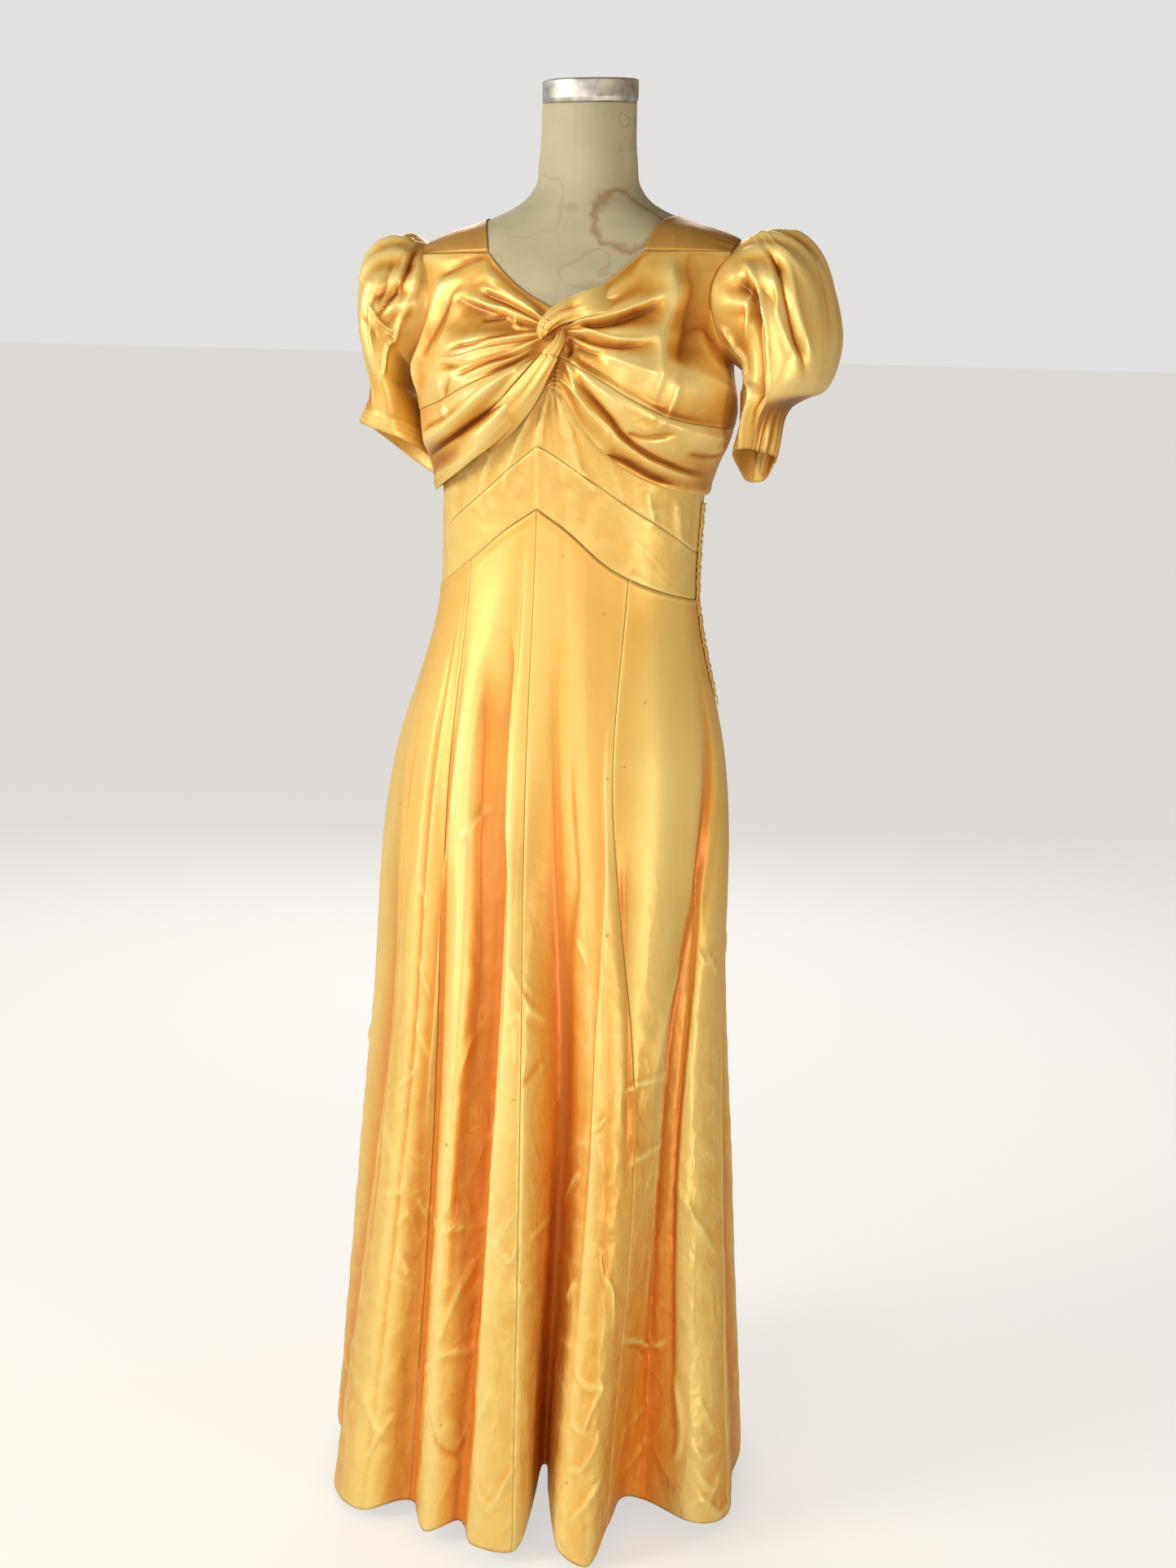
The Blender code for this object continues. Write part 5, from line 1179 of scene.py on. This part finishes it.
def build_bodice_front(finish):
    """The two fronts, ruled between the bust seam and the neckline, yokes and armholes, and the
    drapes below them, ruled between their free edge and the bust seam."""
    fine, rows = FINENESS["bodice_front"], ROWS["bodice_front"]
    for side, hand in ((-1, "right"), (1, "left")):
        yoke = side * np.linspace(YOKE_IN, YOKE_OUT, 4 * fine + 1)[1:]
        yoke = np.stack([yoke, np.full(len(yoke), YOKE)], -1)
        angle, z = armhole_edge(np.linspace(0, 1, 7 * fine + 1)[1:], True)
        top = np.concatenate([neckline_edge(side, 5 * fine + 1), yoke, np.stack([side * angle, z], -1)])
        turn = V_POINT["angle"] + (side * SIDE - V_POINT["angle"]) * np.linspace(0, 1, len(top)) ** 1.05
        bottom = np.stack([turn, bodice_line(turn, 1)], -1)
        turn, z = ruled(bottom, top, np.linspace(0, 1, rows))
        neck = np.clip((5 * fine + 4 - np.arange(len(top))) / 8, 0, 1)[None, :]
        from_top = np.linspace(1, 0, rows)[:, None]
        points, normals = draped_front(turn, z, ramp(from_top, 0.0, 0.06 + 0.14 * neck))
        points = raised(points, normals, seam_dip(points, ("bottom",)) + neck * edge_roll(points, "top"))
        cloth_piece("bodice_front_" + hand, draw_in(points), normals, finish)
        turn = np.linspace(V_POINT["angle"], side * SIDE, COLUMNS["drape"])
        edges = [np.stack([turn, bodice_line(turn, c)], -1) for c in (2, 1)]
        turn, z = ruled(edges[0], edges[1], np.linspace(0, 1, ROWS["drape"]))
        points, normals = draped_front(turn, z)
        points = raised(points, normals, seam_dip(points, ("top",))
                        + edge_roll(points, "bottom", 0.0016, 0.006))
        cloth_piece("drape_" + hand, draw_in(points), normals, finish)


def draped_front(turn, z, loose=1.0):
    """(points, normals) of the draped front with all its drawn folds, where loose is 1, down to
    cloth that lies flat on the form, where it is 0."""
    lift = np.maximum((front_lift(turn, z) + bodice_relief(turn, z)) * loose, PRESSED)
    points = dress_point(np.radians(turn), z, lift)[0]
    outward = np.stack([np.sin(np.radians(turn)), -np.cos(np.radians(turn)), 0 * turn], -1)
    return points, surface_normals(points, outward)


def build_midriff(finish):
    """The gathered upper midriff and the chevron band below it, each ruled between its two seams
    from side seam to side seam, with noise and folds as relief."""
    angle = np.concatenate([np.linspace(-SIDE, PEAK, 82), np.linspace(PEAK, SIDE, 100)[1:]])
    for name, low, high, height in (
        ("midriff_band", chevron(angle, 1), chevron(angle, 2), 0.0007),
        ("midriff_upper", chevron(angle, 2), bodice_line(angle, 3), 0.0011),
    ):
        edges = [np.stack([angle, line], -1) for line in (low, high)]
        turn, z = ruled(edges[0], edges[1], np.linspace(0, 1, ROWS["midriff"]))
        x = np.radians(turn) * FRONT_RADIUS
        relief = height * 0.5 * (soft_noise(x, z, 0.012, 31) + crush(x + z, z * 0.5, 0.016, 32))
        if name == "midriff_upper":
            relief += fan_relief(x, z, (0.0, KNOT["height"] - 0.048), *GATHERS[name])
        else:
            relief += 0.0009 * np.exp(-(turn - PEAK) ** 2 / 2.0)
        relief += 1.4 * fold_relief(x, z, MIDRIFF_FOLDS, DEGREE)
        points, normals = dress_point(np.radians(turn), z, np.maximum(relief, PRESSED))
        points = raised(points, normals, seam_dip(points, ("top", "bottom", "first", "last")))
        cloth_piece(name, draw_in(points), normals, finish)


def build_bodice_back(finish):
    """The back from side seam to side seam, ruled between waist and upper edge, with two waist
    darts, bell curves across their lines, and slack folds drawn to them."""
    fine = FINENESS["bodice_back"]
    angle, z = armhole_edge(np.linspace(1, 0, 6 * fine + 1), False)
    yoke = np.linspace(180 - YOKE_OUT, 180 - YOKE_IN, 5 * fine + 1)[1:]
    neck = np.linspace(180 - YOKE_IN, 180, 5 * fine + 1)[1:]
    dip = YOKE - NECK_DIP["depth"] * np.sin(math.pi / 2 * (neck - NECK_DIP["start"]) / YOKE_IN)
    half = np.concatenate([
        np.stack([angle, z], -1), np.stack([yoke, np.full(len(yoke), YOKE - 0.0003)], -1),
        np.stack([neck, dip], -1),
    ])
    top = np.concatenate([half, np.array([360.0, 0.0]) + half[-2::-1] * (-1, 1)])
    turn = np.linspace(SIDE, 360 - SIDE, len(top))
    bottom = np.stack([turn, chevron(folded(turn), 1)], -1)
    turn, z = ruled(bottom, top, np.linspace(0, 1, ROWS["bodice_back"]))
    aside = np.abs(folded(turn))
    lift = 0.0004 + 0.0014 * ramp(z, 1.34, 1.38) + side_lift(z) * (1 - ramp(aside, SIDE, 130))
    x = np.radians(turn) * FRONT_RADIUS
    relief = 0.0006 * soft_noise(x, z * 0.25, 0.022, 41) + 0.0006 * crush(x, z * 0.5, 0.050, 42)
    relief = relief * (1 - 0.6 * ramp(z, *YOKE_FADE))
    waist = np.exp(-((z - 1.085) / 0.045) ** 2)
    relief += 0.0009 * waist * np.cos(turn * 0.7 + 6 * z) * soft_noise(x, z * 0.1, 0.060, 43)
    for place in BACK_DARTS:
        leaned = turn - place - 30 * (z - WAIST_BACK) * np.sign(180 - place)
        relief -= 0.0010 * np.exp(-(leaned / 0.7) ** 2) * (1 - ramp(z, 1.16, 1.19))
    points, normals = dress_point(np.radians(turn), z, np.maximum(lift + relief, -0.0004))
    neck = np.clip((10 * fine + 2 - np.abs(np.arange(len(top)) - (len(top) - 1) / 2)) / 6 - 4, 0, 1)[None, :]
    points = raised(points, normals, seam_dip(points, ("bottom", "first", "last"))
                    + neck * edge_roll(points, "top"))
    cloth_piece("bodice_back", draw_in(points), normals, finish)


def build_yokes(finish):
    """The two shoulder yokes, with faint pulls towards the sleeve heads, cosines across the yoke."""
    for side, hand in ((-1, "right"), (1, "left")):
        shares = [np.linspace(0, 1, count) for count in (ROWS["yoke"], COLUMNS["yoke"])]
        u, w = np.meshgrid(*shares, indexing="ij")
        point = yoke_point(u, w, side)
        normal = surface_normals(point, np.broadcast_to([0.0, 0.0, 1.0], point.shape))
        x, y = point[..., 0], point[..., 1]
        relief = 0.0004 * soft_noise(x, y, 0.016, 51) + 0.0003 * crush(x, y, 0.026, 52)
        relief += 0.0004 * np.cos(70 * w) * ramp(u, 0.6, 1.0)
        points = raised(point, normal, EASE + SATIN + 0.0001 + relief)
        points = raised(points, normal, seam_dip(points, ("first", "last"), 0.0004)
                        + edge_roll(points, "bottom", 0.0003))
        cloth_piece("yoke_" + hand, draw_in(points, 0.0004), normal, finish)


def skirt_relief(t, points):
    """Small height of the skirt over its flutes: long soft folds, creases and crushed satin that
    grows towards the hem, in metres along the hem and up the skirt."""
    z = points[..., 2]
    x = t * FLUTE_PITCH
    relief = fold_relief(x, z, SKIRT_FOLDS, FLUTE_PITCH, narrowest=3.2)
    grow = 1 - ramp(z, *CRUSHED)
    relief += 0.0016 * soft_noise(x, z * 0.14, 0.040, 61) * (0.35 + 0.65 * grow)
    relief += 0.0014 * crush(x + 0.12 * z, z * 0.5, 0.060, 62) * (0.06 + 0.94 * grow)
    relief += 0.0012 * crush(x - 0.35 * z, z, 0.050, 64) * grow
    relief += 0.0005 * soft_noise(x, z, 0.016, 66) * grow
    for name, share, depth, width in NARROW_VALLEYS:
        place = FLUTE_NAMES.index(name)
        away = (t - place - share) * FLUTE_PITCH / width
        relief -= depth * np.exp(-away ** 2) * (1 - ramp(z, 0.80, 1.05)) * (0.6 + 0.4 * ramp(z, 0.05, 0.3))
    return relief


def build_skirt(finish):
    """Six gores cut from the one fluted surface, with the skirt's relief along its normals."""
    for name, (first, last) in GORES.items():
        start, end = FLUTE_NAMES.index(first), FLUTE_NAMES.index(last)
        if end <= start:
            end += len(FLUTES)
        part = "skirt_back" if "back" in name else "skirt_front"
        columns, rows = COLUMNS[part], ROWS[part]
        past = 2 * (end - start) / (columns - 1)
        t, h = np.meshgrid(np.linspace(start - past, end + past, columns + 4), np.linspace(0, 1, rows))
        h = h * (0.55 + 0.45 * h) if "back" in name else h
        points, outward = skirt_surface(t, h)
        gaps = np.minimum(t - start, end - t)
        # The two sides of a seam read the noise at the same place, so their edges meet
        relief = skirt_relief(np.mod(t, len(FLUTES)), points)
        if "back" in name:
            relief = relief * (0.35 + 0.65 * ramp(gaps, 0.0, 0.35))
        relief *= ramp(h, 0.0, 0.02)
        relief += BAND_STEP * (1 - ramp(h, 0.0, 0.04))
        points = raised(points, outward, relief)
        normals = surface_normals(points, outward)[:, 2:-2]
        points = points[:, 2:-2]
        points = raised(points, normals, seam_dip(points, ("top", "first", "last"), 0.0005, 0.0018)
                        + edge_roll(points, "bottom", 0.0012, 0.0030))
        crumple = 0.08 + 0.92 * (1 - ramp(points[..., 2], *CRUMPLED)) ** 1.5
        cloth_piece(name, draw_in(points), normals, finish,
                    crumple=crumple)


def sleeve_rings(phi, rows, table, side):
    """Rings of a sleeve: the armhole's line first, then the table's sections, smoothly joined."""
    start = armhole_point(phi, side)
    middle = np.array([0.0, 0.0, ARMHOLE["height"]])
    rings = [middle + (start - middle) * (1.0, 0.965, 0.965) + np.array([side * 0.0004, 0.0, 0.0])]
    drop = (0.5 + 0.5 * np.cos(phi - math.radians(BACK_DROP["turn"]))) ** BACK_DROP["power"]
    for x, y, z, out_x, out_z, depth, back in table:
        rings.append(np.stack([
            x + out_x * np.cos(phi), y - depth * np.sin(phi), z + out_z * np.cos(phi) - back * drop,
        ], -1))
    rings = np.array(rings)
    wanted = np.linspace(0, len(rings) - 1, rows)
    return smooth(wanted, np.arange(len(rings)), rings), wanted


def build_sleeves(finish):
    """The puffed sleeves: rings with the folds' relief on them, gathered heads drawn as a cosine
    round the sleeve, and hems that are ruched on the left and stitched in rows on the right."""
    for side, hand, table, folds in ((-1, "right", SLEEVE_RIGHT, RIGHT_SLEEVE_FOLDS),
                                     (1, "left", SLEEVE_LEFT, LEFT_SLEEVE_FOLDS)):
        columns, rows = COLUMNS["sleeve"], ROWS["sleeve"]
        phi = round_angles(columns)
        points, place = sleeve_rings(phi, rows, table, side)
        normal = ring_normals(points, side)
        points = points + normal * WALL
        degrees = folded(np.degrees(phi)[None, :]) + 0 * place[:, None]
        x, z = np.radians(degrees) * SLEEVE_RADIUS, -place[:, None] * SECTION_STEP + 0 * degrees
        scale = math.radians(1.0) * SLEEVE_RADIUS
        relief = 0 * x
        for mirror, share in ((1, 1.0), (-1, 0.7)):  # the back has the same folds, a little softer
            relief += share * fold_relief(mirror * x, z, folds, scale, -SECTION_STEP)
        head = ramp(place, 0.1, 0.9)[:, None] * (1 - ramp(place, 1.3, 3.2))[:, None]
        gather = np.cos(GATHER["count"] * phi + 0.7 * np.sin(3 * phi))[None, :]
        relief += GATHER["height"] * head * gather * ramp(np.cos(phi), -0.5, 0.1)[None, :]
        last = len(table)
        hem = ramp(place, last - 1.2, last - 0.1)[:, None]
        seamless = 0.5 + 0.5 * np.cos(phi)[None, :]
        relief += 0.0007 * (soft_noise(x, z, 0.020, 71 + side) * seamless)
        relief += 0.0006 * crush(x, z, 0.036, 75 + side) * seamless
        if hand == "left":
            ruched = np.cos(27 * phi + 2 * np.sin(5 * phi)) * ramp(np.cos(phi), 0.1, 0.7)
            relief += 0.0018 * hem * ruched[None, :]
        else:
            for row in HEM_ROWS:
                relief += 0.0008 * np.exp(-((place[:, None] - last + row) / 0.045) ** 2)
        relief *= ramp(place, 0.0, 0.4)[:, None]
        relief += HEM_LOBES[hand] * hem * np.cos(3 * phi - 0.6)[None, :]
        points = raised(points, normal, relief)
        cloth_piece("sleeve_" + hand, points, ring_normals(points, side), finish,
                    closed=True)


def build_twist(finish):
    """The band that turns over at the V and the loop below it: ellipses carried along a path on the
    cloth, with creases that run lengthwise as cosines of the angle round the roll."""
    for name, path in (("twist_band", TWIST_BAND), ("twist_loop", TWIST_LOOP)):
        count, sides = ROWS["twist"], COLUMNS["twist"]
        t = np.linspace(0, len(path) - 1, count)
        angle, z, wide, deep = (smooth(t, np.arange(len(path)), path[:, c]) for c in (0, 1, 2, 3))
        wide, deep = wide * 0.001, deep * 0.001
        held = ROLL_SEAT[name] * ramp(t, 0.0, 0.8) * (1 - ramp(t, len(path) - 3.0, len(path) - 1.0))
        under = 1 - ramp(t, 0.0, 1.4) if name == "twist_band" else ramp(t, len(path) - 3.2, len(path) - 1.0)
        sunk = TWIST_SUNK[name] * under
        centre, normal = dress_point(np.radians(angle), z, front_lift(angle, z) + deep * 0.9 + held - sunk)
        ahead = unit(np.gradient(centre, axis=0))
        side = unit(np.cross(normal, ahead))
        normal = np.cross(ahead, side)
        phi = round_angles(sides)
        share = (t / (len(path) - 1))[:, None]
        wave = phi[None, :] + ROLL_TURN[name] * share
        ripple = 0.07 * np.cos(7 * wave + 2 * share) + 0.05 * np.cos(11 * wave - 3 * share)
        groove = np.exp(-((np.sin(phi[None, :] - 1.3 - 0.9 * share)) / 0.16) ** 2)
        ripple -= 0.14 * groove * ramp(share, 0.0, 0.3)
        grow = 1 + ripple * ramp(deep, 0.001, 0.006)[:, None]
        grid = centre[:, None] + side[:, None] * (np.cos(phi) * wide[:, None] * grow)[..., None]
        grid = grid + normal[:, None] * (np.sin(phi) * deep[:, None] * grow)[..., None]
        outward = unit(grid - centre[:, None])
        normals = ring_normals(grid, 1)
        normals *= np.sign(np.einsum("ijk,ijk->ij", normals, outward))[..., None]
        # Painted shade: the rolls are painted darker all over than their fold shade alone gives
        shade = fold_shade(grid, normals) - 0.14
        across, down = arcs(grid)
        faces = tube_faces(count, sides)
        facing = np.cross(grid[1, 1] - grid[1, 0], grid[2, 0] - grid[1, 0])
        if np.dot(facing, normals[1, 0]) < 0:
            faces = [face[::-1] for face in faces]
        piece = make_piece(name + "_cloth", grid.reshape(-1, 3), faces, finish,
                           shade.ravel(), np.stack([across, down], -1).reshape(-1, 2),
                           0.3 + 0 * shade)
        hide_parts(name)


def build_placket(finish):
    """The strip over the left side seam, puckered by its fastening behind. Its columns are set out
    along the cloth from the seam, so it lies on the midriff above the waist and on the skirt below."""
    height = np.concatenate([np.linspace(PLACKET["top"], PLACKET["over_waist"], 60),
                             np.linspace(PLACKET["under_waist"], PLACKET["bottom"], 64)])[:, None]
    seam = float(FLUTE_NAMES.index("side_left"))
    side, turn, pitch = math.radians(SIDE), 0.05, 0.1
    top = float(chevron(np.array(SIDE), 1))
    share = np.clip((top - height) / (top - PLACKET["hem"]), 0, 1)
    taper = np.minimum(1.0, (height - height[-1]) / 0.04 + 0.15)  # its lower end comes to a point
    reach = PLACKET["half_width"] * np.linspace(-1, 1, COLUMNS["placket"]) * taper
    offset = PLACKET["forward"] - reach
    upper = [dress_point(side - d + 0 * height, height)[0] for d in (turn, 0.0)]
    lower = [skirt_surface(seam - d + 0 * height, share)[0] for d in (pitch, 0.0)]
    angle = side - turn * offset / np.linalg.norm(upper[0] - upper[1], axis=-1)
    flute = seam - pitch * offset / np.linalg.norm(lower[0] - lower[1], axis=-1)
    point, normal = dress_point(angle, height + 0 * angle)
    low_point, low_normal = skirt_surface(flute, share + 0 * flute)
    above = (height >= PLACKET["over_waist"])[..., None]
    point, normal = np.where(above, point, low_point), np.where(above, normal, low_normal)
    pucker = 0.0005 * np.sin(height * 520 + 1.5 * np.sin(height * 170))
    pucker = pucker + 0.0004 * np.sin(height * 910 + 90 * offset)
    crown = 0.0006 * (1 - (reach / PLACKET["half_width"]) ** 2)
    points = point + normal * (WALL + 0.0010 + pucker + crown)[..., None]
    cloth_piece("placket", points, normal, finish)


def build_form(canvas, tin):
    """The canvas torso, the form's sections with a pressed seam down the centre front and back, and
    the neck cap, a profile turned round the neck's axis. Both are closed at top and bottom."""
    columns = COLUMNS["form"]
    theta = round_angles(columns)
    z = np.concatenate([np.linspace(FORM_BOTTOM, 1.36, 50)[:-1], np.linspace(1.36, NECK_TOP, 80)])
    inset = -SHRINK * (1 - ramp(z, *YOKE_FADE)) * ramp(z, FORM_BOTTOM, 0.88)
    turn = folded(np.degrees(theta))
    seam = np.exp(-(np.abs(turn) / 0.9) ** 2) + np.exp(-((180 - np.abs(turn)) / 0.9) ** 2)
    lift = inset[:, None] - 0.0005 * seam[None, :]
    grid = offset_point(theta[None, :], z[:, None], lift)[0]
    grid[..., 2] += CAP_TILT * grid[..., 1] * ramp(z, 1.50, NECK_TOP)[:, None]
    piece = make_piece("form_torso_canvas", grid.reshape(-1, 3), tube_faces(len(z), columns), canvas)
    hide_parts("form_torso")
    low, high = NECK_TOP + 0.0004, NECK_TOP + 0.0004 + CAP_HEIGHT
    bend = np.linspace(0, math.pi / 2, 6)
    rim, roll, bead = 0.0022, 0.0016, 0.0008  # round of the top edge, its inner roll, bead at the foot
    profile = [(CAP_RADIUS - bead - rim * 0.4, low), (CAP_RADIUS - bead, low + 0.0010),
               (CAP_RADIUS - bead, low + 0.0030), (CAP_RADIUS, low + 0.0042)]
    profile += [(CAP_RADIUS, z) for z in np.linspace(low + 0.006, high - rim - 0.001, 6)]
    profile += [(CAP_RADIUS - rim + rim * math.cos(b), high - rim + rim * math.sin(b)) for b in bend]
    profile += [(CAP_RADIUS - rim - 0.0012, high - 0.0003),
                (CAP_RADIUS - rim - roll - 0.003, high - 0.0012),
                (0.030, high - 0.0006), (0.014, high - 0.0003), (0.0008, high - 0.0002)]
    profile = np.array(profile)
    columns = COLUMNS["cap"]
    angles = round_angles(columns)
    x = NECK_SHIFT + profile[:, :1] * np.sin(angles)
    y = -profile[:, :1] * np.cos(angles)
    grid = np.stack([x, y, profile[:, 1:] + SHOULDER_TILT * x + CAP_TILT * y], -1)
    piece = make_piece("form_neck_cap_tin", grid.reshape(-1, 3), tube_faces(len(profile), columns), tin)
    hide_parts("form_neck_cap")


def build_stage():
    """A plain pale floor, soft light from all round and four studio lights."""
    floor = bpy.data.meshes.new("floor")
    size = 60.0
    corners = [(-size, -size, 0), (size, -size, 0), (size, size, 0), (-size, size, 0)]
    floor.from_pydata(corners, [], [(0, 1, 2, 3)])
    finish, tree, shader = blank("pale_floor")
    # The floor looks white, as in a light tent, but throws only part of that light on the cloth
    seen = add(tree, "ShaderNodeLightPath").outputs["Is Camera Ray"]
    glow = add(tree, "ShaderNodeMapRange", [("Value", seen), ("To Min", GROUND["floor_light"]),
                                            ("To Max", GROUND["floor_seen"])])
    plug(tree, shader, [("Base Color", linear("A8A6A2")), ("Roughness", 0.9),
                        ("Emission Color", linear(GROUND["tone"])), ("Emission Strength", glow.outputs[0])])
    floor.materials.append(finish)
    new_object("floor", floor)
    world = bpy.data.worlds.new("studio")
    world.use_nodes = True
    tree = world.node_tree
    seen = add(tree, "ShaderNodeLightPath").outputs["Is Camera Ray"]
    toward = add(tree, "ShaderNodeSeparateXYZ",
                 [("Vector", add(tree, "ShaderNodeTexCoord").outputs["Generated"])])
    aside = add(tree, "ShaderNodeMapRange", [("Value", toward.outputs["X"]), ("From Min", -0.9),
                                             ("From Max", 0.9)])
    above = add(tree, "ShaderNodeMapRange", [("Value", toward.outputs["Z"]), ("From Min", 0.1),
                                             ("From Max", 0.8), ("To Min", 1.0),
                                             ("To Max", ROOM_LIGHT["above"])])
    level = add(tree, "ShaderNodeMix", [("Factor", aside.outputs[0]), ("A", ROOM_LIGHT["left"]),
                                        ("B", ROOM_LIGHT["right"])])
    room = add(tree, "ShaderNodeMath", [(0, level.outputs[0]), (1, above.outputs[0])], operation="MULTIPLY")
    strength = add(tree, "ShaderNodeMix", [("Factor", seen), ("A", room.outputs[0]),
                                           ("B", GROUND["room_seen"])])
    tone = add(tree, "ShaderNodeMix", [("Factor", aside.outputs[0]), (6, linear(ROOM_LIGHT["left_tone"])),
                                       (7, linear(ROOM_LIGHT["right_tone"]))], data_type="RGBA")
    colour = add(tree, "ShaderNodeMix", [("Factor", seen), (6, tone.outputs[2]),
                                         (7, linear(GROUND["tone"]))], data_type="RGBA")
    plug(tree, tree.nodes["Background"], [("Strength", strength.outputs[0]), ("Color", colour.outputs[2])])
    bpy.context.scene.world = world
    bpy.context.scene.view_settings.view_transform = "Standard"
    for name, place, target, size, power, tone in LIGHTS:
        lamp = bpy.data.lights.new(name, "AREA")
        lamp.shape, lamp.size, lamp.size_y = "RECTANGLE", size[0], size[1]
        lamp.energy, lamp.color = power, linear(tone)[:3]
        light = new_object(name, lamp)
        light.location = place
        aim = Vector(target) - Vector(place)
        light.rotation_euler = aim.to_track_quat("-Z", "Y").to_euler()


def build_camera():
    """The camera, turned by azimuth, yaw, pitch and roll in that order."""
    turn, yaw, pitch, roll = (math.radians(CAMERA[k]) for k in ("azimuth", "yaw", "pitch", "roll"))
    up = np.array([0.0, 0.0, 1.0])
    forward = np.array([-math.sin(turn), math.cos(turn), 0.0])
    right = np.array([math.cos(turn), math.sin(turn), 0.0])
    forward = math.cos(yaw) * forward + math.sin(yaw) * right
    right = np.cross(forward, up)
    forward = math.cos(pitch) * forward - math.sin(pitch) * up
    up = np.cross(right, forward)
    right = math.cos(roll) * right + math.sin(roll) * up
    up = np.cross(right, forward)
    lens = bpy.data.cameras.new("photo_camera")
    lens.lens, lens.sensor_width, lens.sensor_fit = CAMERA["lens"], CAMERA["sensor"], "HORIZONTAL"
    lens.clip_start, lens.clip_end = 0.05, 60.0
    camera = new_object("photo_camera", lens)
    place = np.array([math.sin(turn), -math.cos(turn), 0.0]) * CAMERA["distance"]
    camera.matrix_world = Matrix((
        (right[0], up[0], -forward[0], place[0]),
        (right[1], up[1], -forward[1], place[1]),
        (right[2], up[2], -forward[2], CAMERA["height"]),
        (0.0, 0.0, 0.0, 1.0),
    ))
    bpy.context.scene.camera = camera


def repaint(nodes, finish):
    """Gives CAD nodes that keep their shape a better finish."""
    for name in nodes:
        for place in bpy.data.objects[name].material_slots:
            place.material = finish


def main():
    """Makes the finishes, the camera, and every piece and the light."""
    gold = satin("gold_satin", GOLD_STOPS, 0.42, 0.16, 0.14, stains=0.5)
    # Painted shade: a darker-troughed copy of the same satin for the bodice, sleeves and twist
    draped = satin("drape_satin_painted_shade", DRAPE_SHADE_STOPS, 0.38, 0.27, 0.22, stains=0.4)
    # Painted light and shade: a copy of the same satin for the midriff and placket
    bright = satin("bright_gold_satin", MIDRIFF_LIGHT_STOPS, 0.40, 0.18, 0.18)
    # Painted shade: a darker copy of the same satin for the yokes
    deep = satin("deep_gold_satin", YOKE_SHADE_STOPS, 0.46, 0.30, 0.10)
    canvas, tin, iron = canvas_finish(), tin_finish(), iron_finish()
    build_camera()
    build_form(canvas, tin)
    repaint(("stand_pole", "stand_foot"), iron)
    build_skirt(gold)
    build_midriff(bright)
    build_bodice_front(draped)
    build_bodice_back(draped)
    build_yokes(deep)
    build_sleeves(draped)
    build_twist(draped)
    build_placket(bright)
    build_stage()


main()
